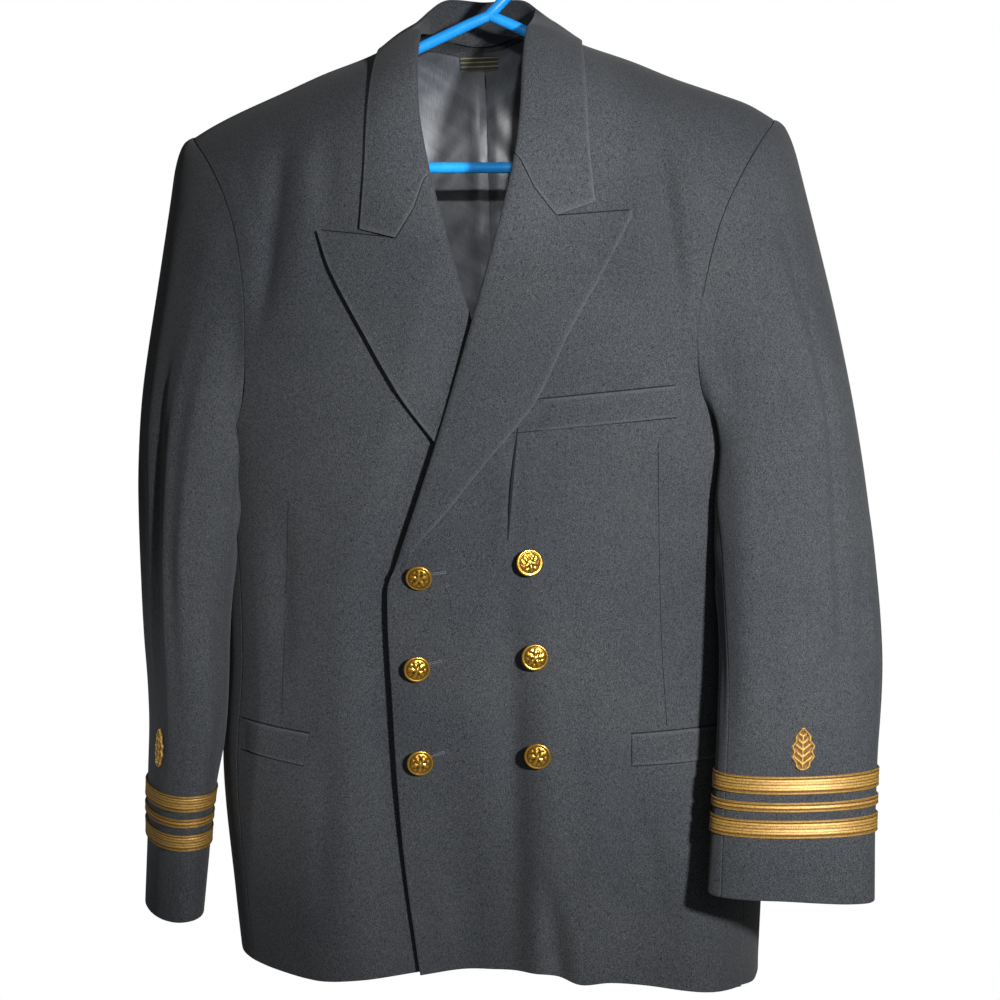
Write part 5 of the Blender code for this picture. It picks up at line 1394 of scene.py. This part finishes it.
def plastic_material():
    """Glossy blue plastic with faint scuffs."""
    made, tree, shader = new_material("blue_gloss", (0.012, 0.32, 0.86), 0.22)
    scuff = noise(tree, object_place(tree), 60.0, 6.0, 0.7)
    colour = ramp(tree, scuff, (0.3, 0.8), (0.010, 0.29, 0.82), (0.030, 0.38, 0.92))
    feed(tree, shader, {"Base Color": colour,
                        "Roughness": spread(tree, scuff, 0.3, 0.75, 0.18, 0.36),
                        "Normal": bump(tree, scuff, 0.08, 0.3 * MM)})
    return made


def label_material():
    """Blank woven label, dark satin weave with pale stripes along it."""
    made, tree, shader = new_material("woven_label", (0.02, 0.022, 0.026), 0.6)
    uv = cloth_uv(tree)
    grain = noise(tree, uv, 1.0, 2.0, 0.6, (1200.0, 1800.0, 1.0))
    cloth = ramp(tree, grain, None, (0.012, 0.014, 0.018), (0.050, 0.048, 0.040))
    stripe = spread(tree, stripes(tree, uv, "COSINE", LABEL_STRIPE), 0.55, 0.95)
    feed(tree, shader, {"Base Color": mixed(tree, stripe, cloth, (0.22, 0.21, 0.10)),
                        "Normal": bump(tree, grain, 0.4, 0.2 * MM)})
    return made


def floor_material():
    made, tree, shader = new_material("pale_floor", (0.86, 0.86, 0.86), 0.9)
    grain = noise(tree, object_place(tree), 3.0)
    feed(tree, shader, {"Base Color": ramp(tree, grain, None, (0.84, 0.84, 0.84), (0.88, 0.88, 0.88))})
    return made


# Camera, lights and floor

def camera():
    turn, down, roll = CAMERA_TURN, CAMERA_DOWN, CAMERA_ROLL
    look = Vector((-math.sin(turn) * math.cos(down), math.cos(turn) * math.cos(down), -math.sin(down)))
    right = Vector((math.cos(turn), math.sin(turn), 0.0))
    up = right.cross(look)
    across = right * math.cos(roll) - up * math.sin(roll)
    upward = right * math.sin(roll) + up * math.cos(roll)
    data = bpy.data.cameras.new("camera")
    data.sensor_width = 36.0
    data.lens = CAMERA_LENS
    made = add_object("camera", data)
    place = Matrix((across, upward, -look)).transposed().to_4x4()
    place.translation = Vector(CAMERA_PLACE)
    made.matrix_world = place
    bpy.context.scene.camera = made


def studio():
    for name, (kind, place, aim, power, settings) in LIGHTS.items():
        data = bpy.data.lights.new(name, kind)
        data.energy = power
        for key, value in settings.items():
            setattr(data, key, value)
        made = add_object(name, data)
        made.location = place
        made.rotation_euler = (Vector(aim) - Vector(place)).to_track_quat("-Z", "Y").to_euler()
    world = bpy.data.worlds.new("studio")
    bpy.context.scene.world = world
    world.use_nodes = True
    tree = world.node_tree
    white = (1.0, 1.0, 1.0, 1.0)
    feed(tree, tree.nodes["Background"], {"Color": white, "Strength": WORLD_LIGHT})
    both = node(tree, "MixShader", "Shader", {
        "Fac": node(tree, "LightPath", "Is Camera Ray", {}),
        1: tree.nodes["Background"].outputs["Background"],
        2: node(tree, "Background", "Background", {"Color": white, "Strength": 1.0})})
    feed(tree, tree.nodes["World Output"], {"Surface": both})
    square = np.array([(-1, -1), (1, -1), (1, 1), (-1, 1)]) * FLOOR_HALF
    points = np.column_stack([square, np.full(4, FLOOR_Z)])
    floor = add_mesh("floor", points, np.array([[0, 1, 2, 3]]), floor_material(), smooth_shade=False)


# Hanging the pieces on the body and hiding the solids they stand for

def flat_size(piece):
    """Width, length and area of a thin wall, from half its own surface."""
    a, b, c = corners_of(piece.data)
    area = float(np.linalg.norm(np.cross(b - a, c - a), axis=1).sum() / 4)
    uv = np.empty(len(piece.data.loops) * 2, np.float32)
    piece.data.uv_layers[0].data.foreach_get("uv", uv)
    width, length = (float(np.ptp(uv[k::2])) for k in (0, 1))
    return width, length, min(area, width * length)


def attach(piece):
    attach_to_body(piece, "root")


def hang(piece, node_name, rests_on=None):
    attach(piece)
    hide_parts(node_name)
    if rests_on:
        width, length, area = flat_size(piece)


def dress(side, wool, satin, gold, gold_leaf, dark, grey):
    """All cloth of one side, with what is sewn on it and the dark lines of painted shade."""
    welts = [welt("hip_welt_" + side, side, HIP_WELT[side], wool, (0.0, HIP_SUNK[side]))]
    lines = welt_shade_lines("hip_" + side, side, HIP_WELT[side], dark) + dart_shadow_lines(side, dark)
    lines += [armhole_shade_line(side, dark), peak_shadow_line(side, dark)]
    if side == "left":
        welts.append(welt("breast_welt", side, BREAST_WELT, wool, (BREAST_SUNK, 0.0)))
        lines += welt_shade_lines("breast", side, BREAST_WELT, dark, BREAST_SEAM) + buttonholes(grey)
    for piece in welts:
        hang(piece, piece.name.split(".")[0])
    for piece in lines:
        attach(piece)
    body = ["front_" + side, "back_" + side]
    hang(front_panel(side, wool), "front_" + side, ["hanger"])
    hang(back_panel(side, wool), "back_" + side, ["hanger"])
    hang(side_panel(side, wool), "side_" + side, body)
    hang(lapel(side, wool), "lapel_" + side, body[:1])
    trims = lace(side, gold) + [leaf(side, gold_leaf)]
    for piece in trims:
        hang(piece, piece.name.split(".")[0])
    top, under = sleeve_pieces(side, wool)
    hang(top, "top_sleeve_" + side, body)
    hang(under, "under_sleeve_" + side, body)
    sewn = [lining_seam(dark)] if side == "left" else []
    for piece in sewn:
        attach(piece)
    hang(lining_back(side, satin), "lining_back_" + side, body[1:])


def main():
    wool = wool_material()
    satin = satin_material()
    gold = gold_material("gold_lace", True)
    gold_leaf = gold_material("gold_leaf", False)
    brass = brass_material()
    blue = plastic_material()
    woven = label_material()
    # near-black lines of painted shade at the darts, welts, seams and lapel peaks
    dark = thread_material("painted_shade_thread", (0.003, 0.004, 0.005), (0.012, 0.013, 0.016))
    grey = thread_material("grey_thread", (0.06, 0.065, 0.075), (0.16, 0.17, 0.19))
    camera()
    studio()
    bpy.context.scene.view_settings.view_transform = "Standard"
    for number, piece in enumerate(buttons(brass), start=1):
        hang(piece, "button_%d" % number)
    for side in SIDES:
        dress(side, wool, satin, gold, gold_leaf, dark, grey)
    hang(collar(wool), "collar", ["back_left", "back_right"])
    hang(label(woven), "label", ["lining_back_left", "lining_back_right"])
    for piece in hanger(blue):
        hang(piece, "hanger")


main()
bpy.context.view_layer.update()
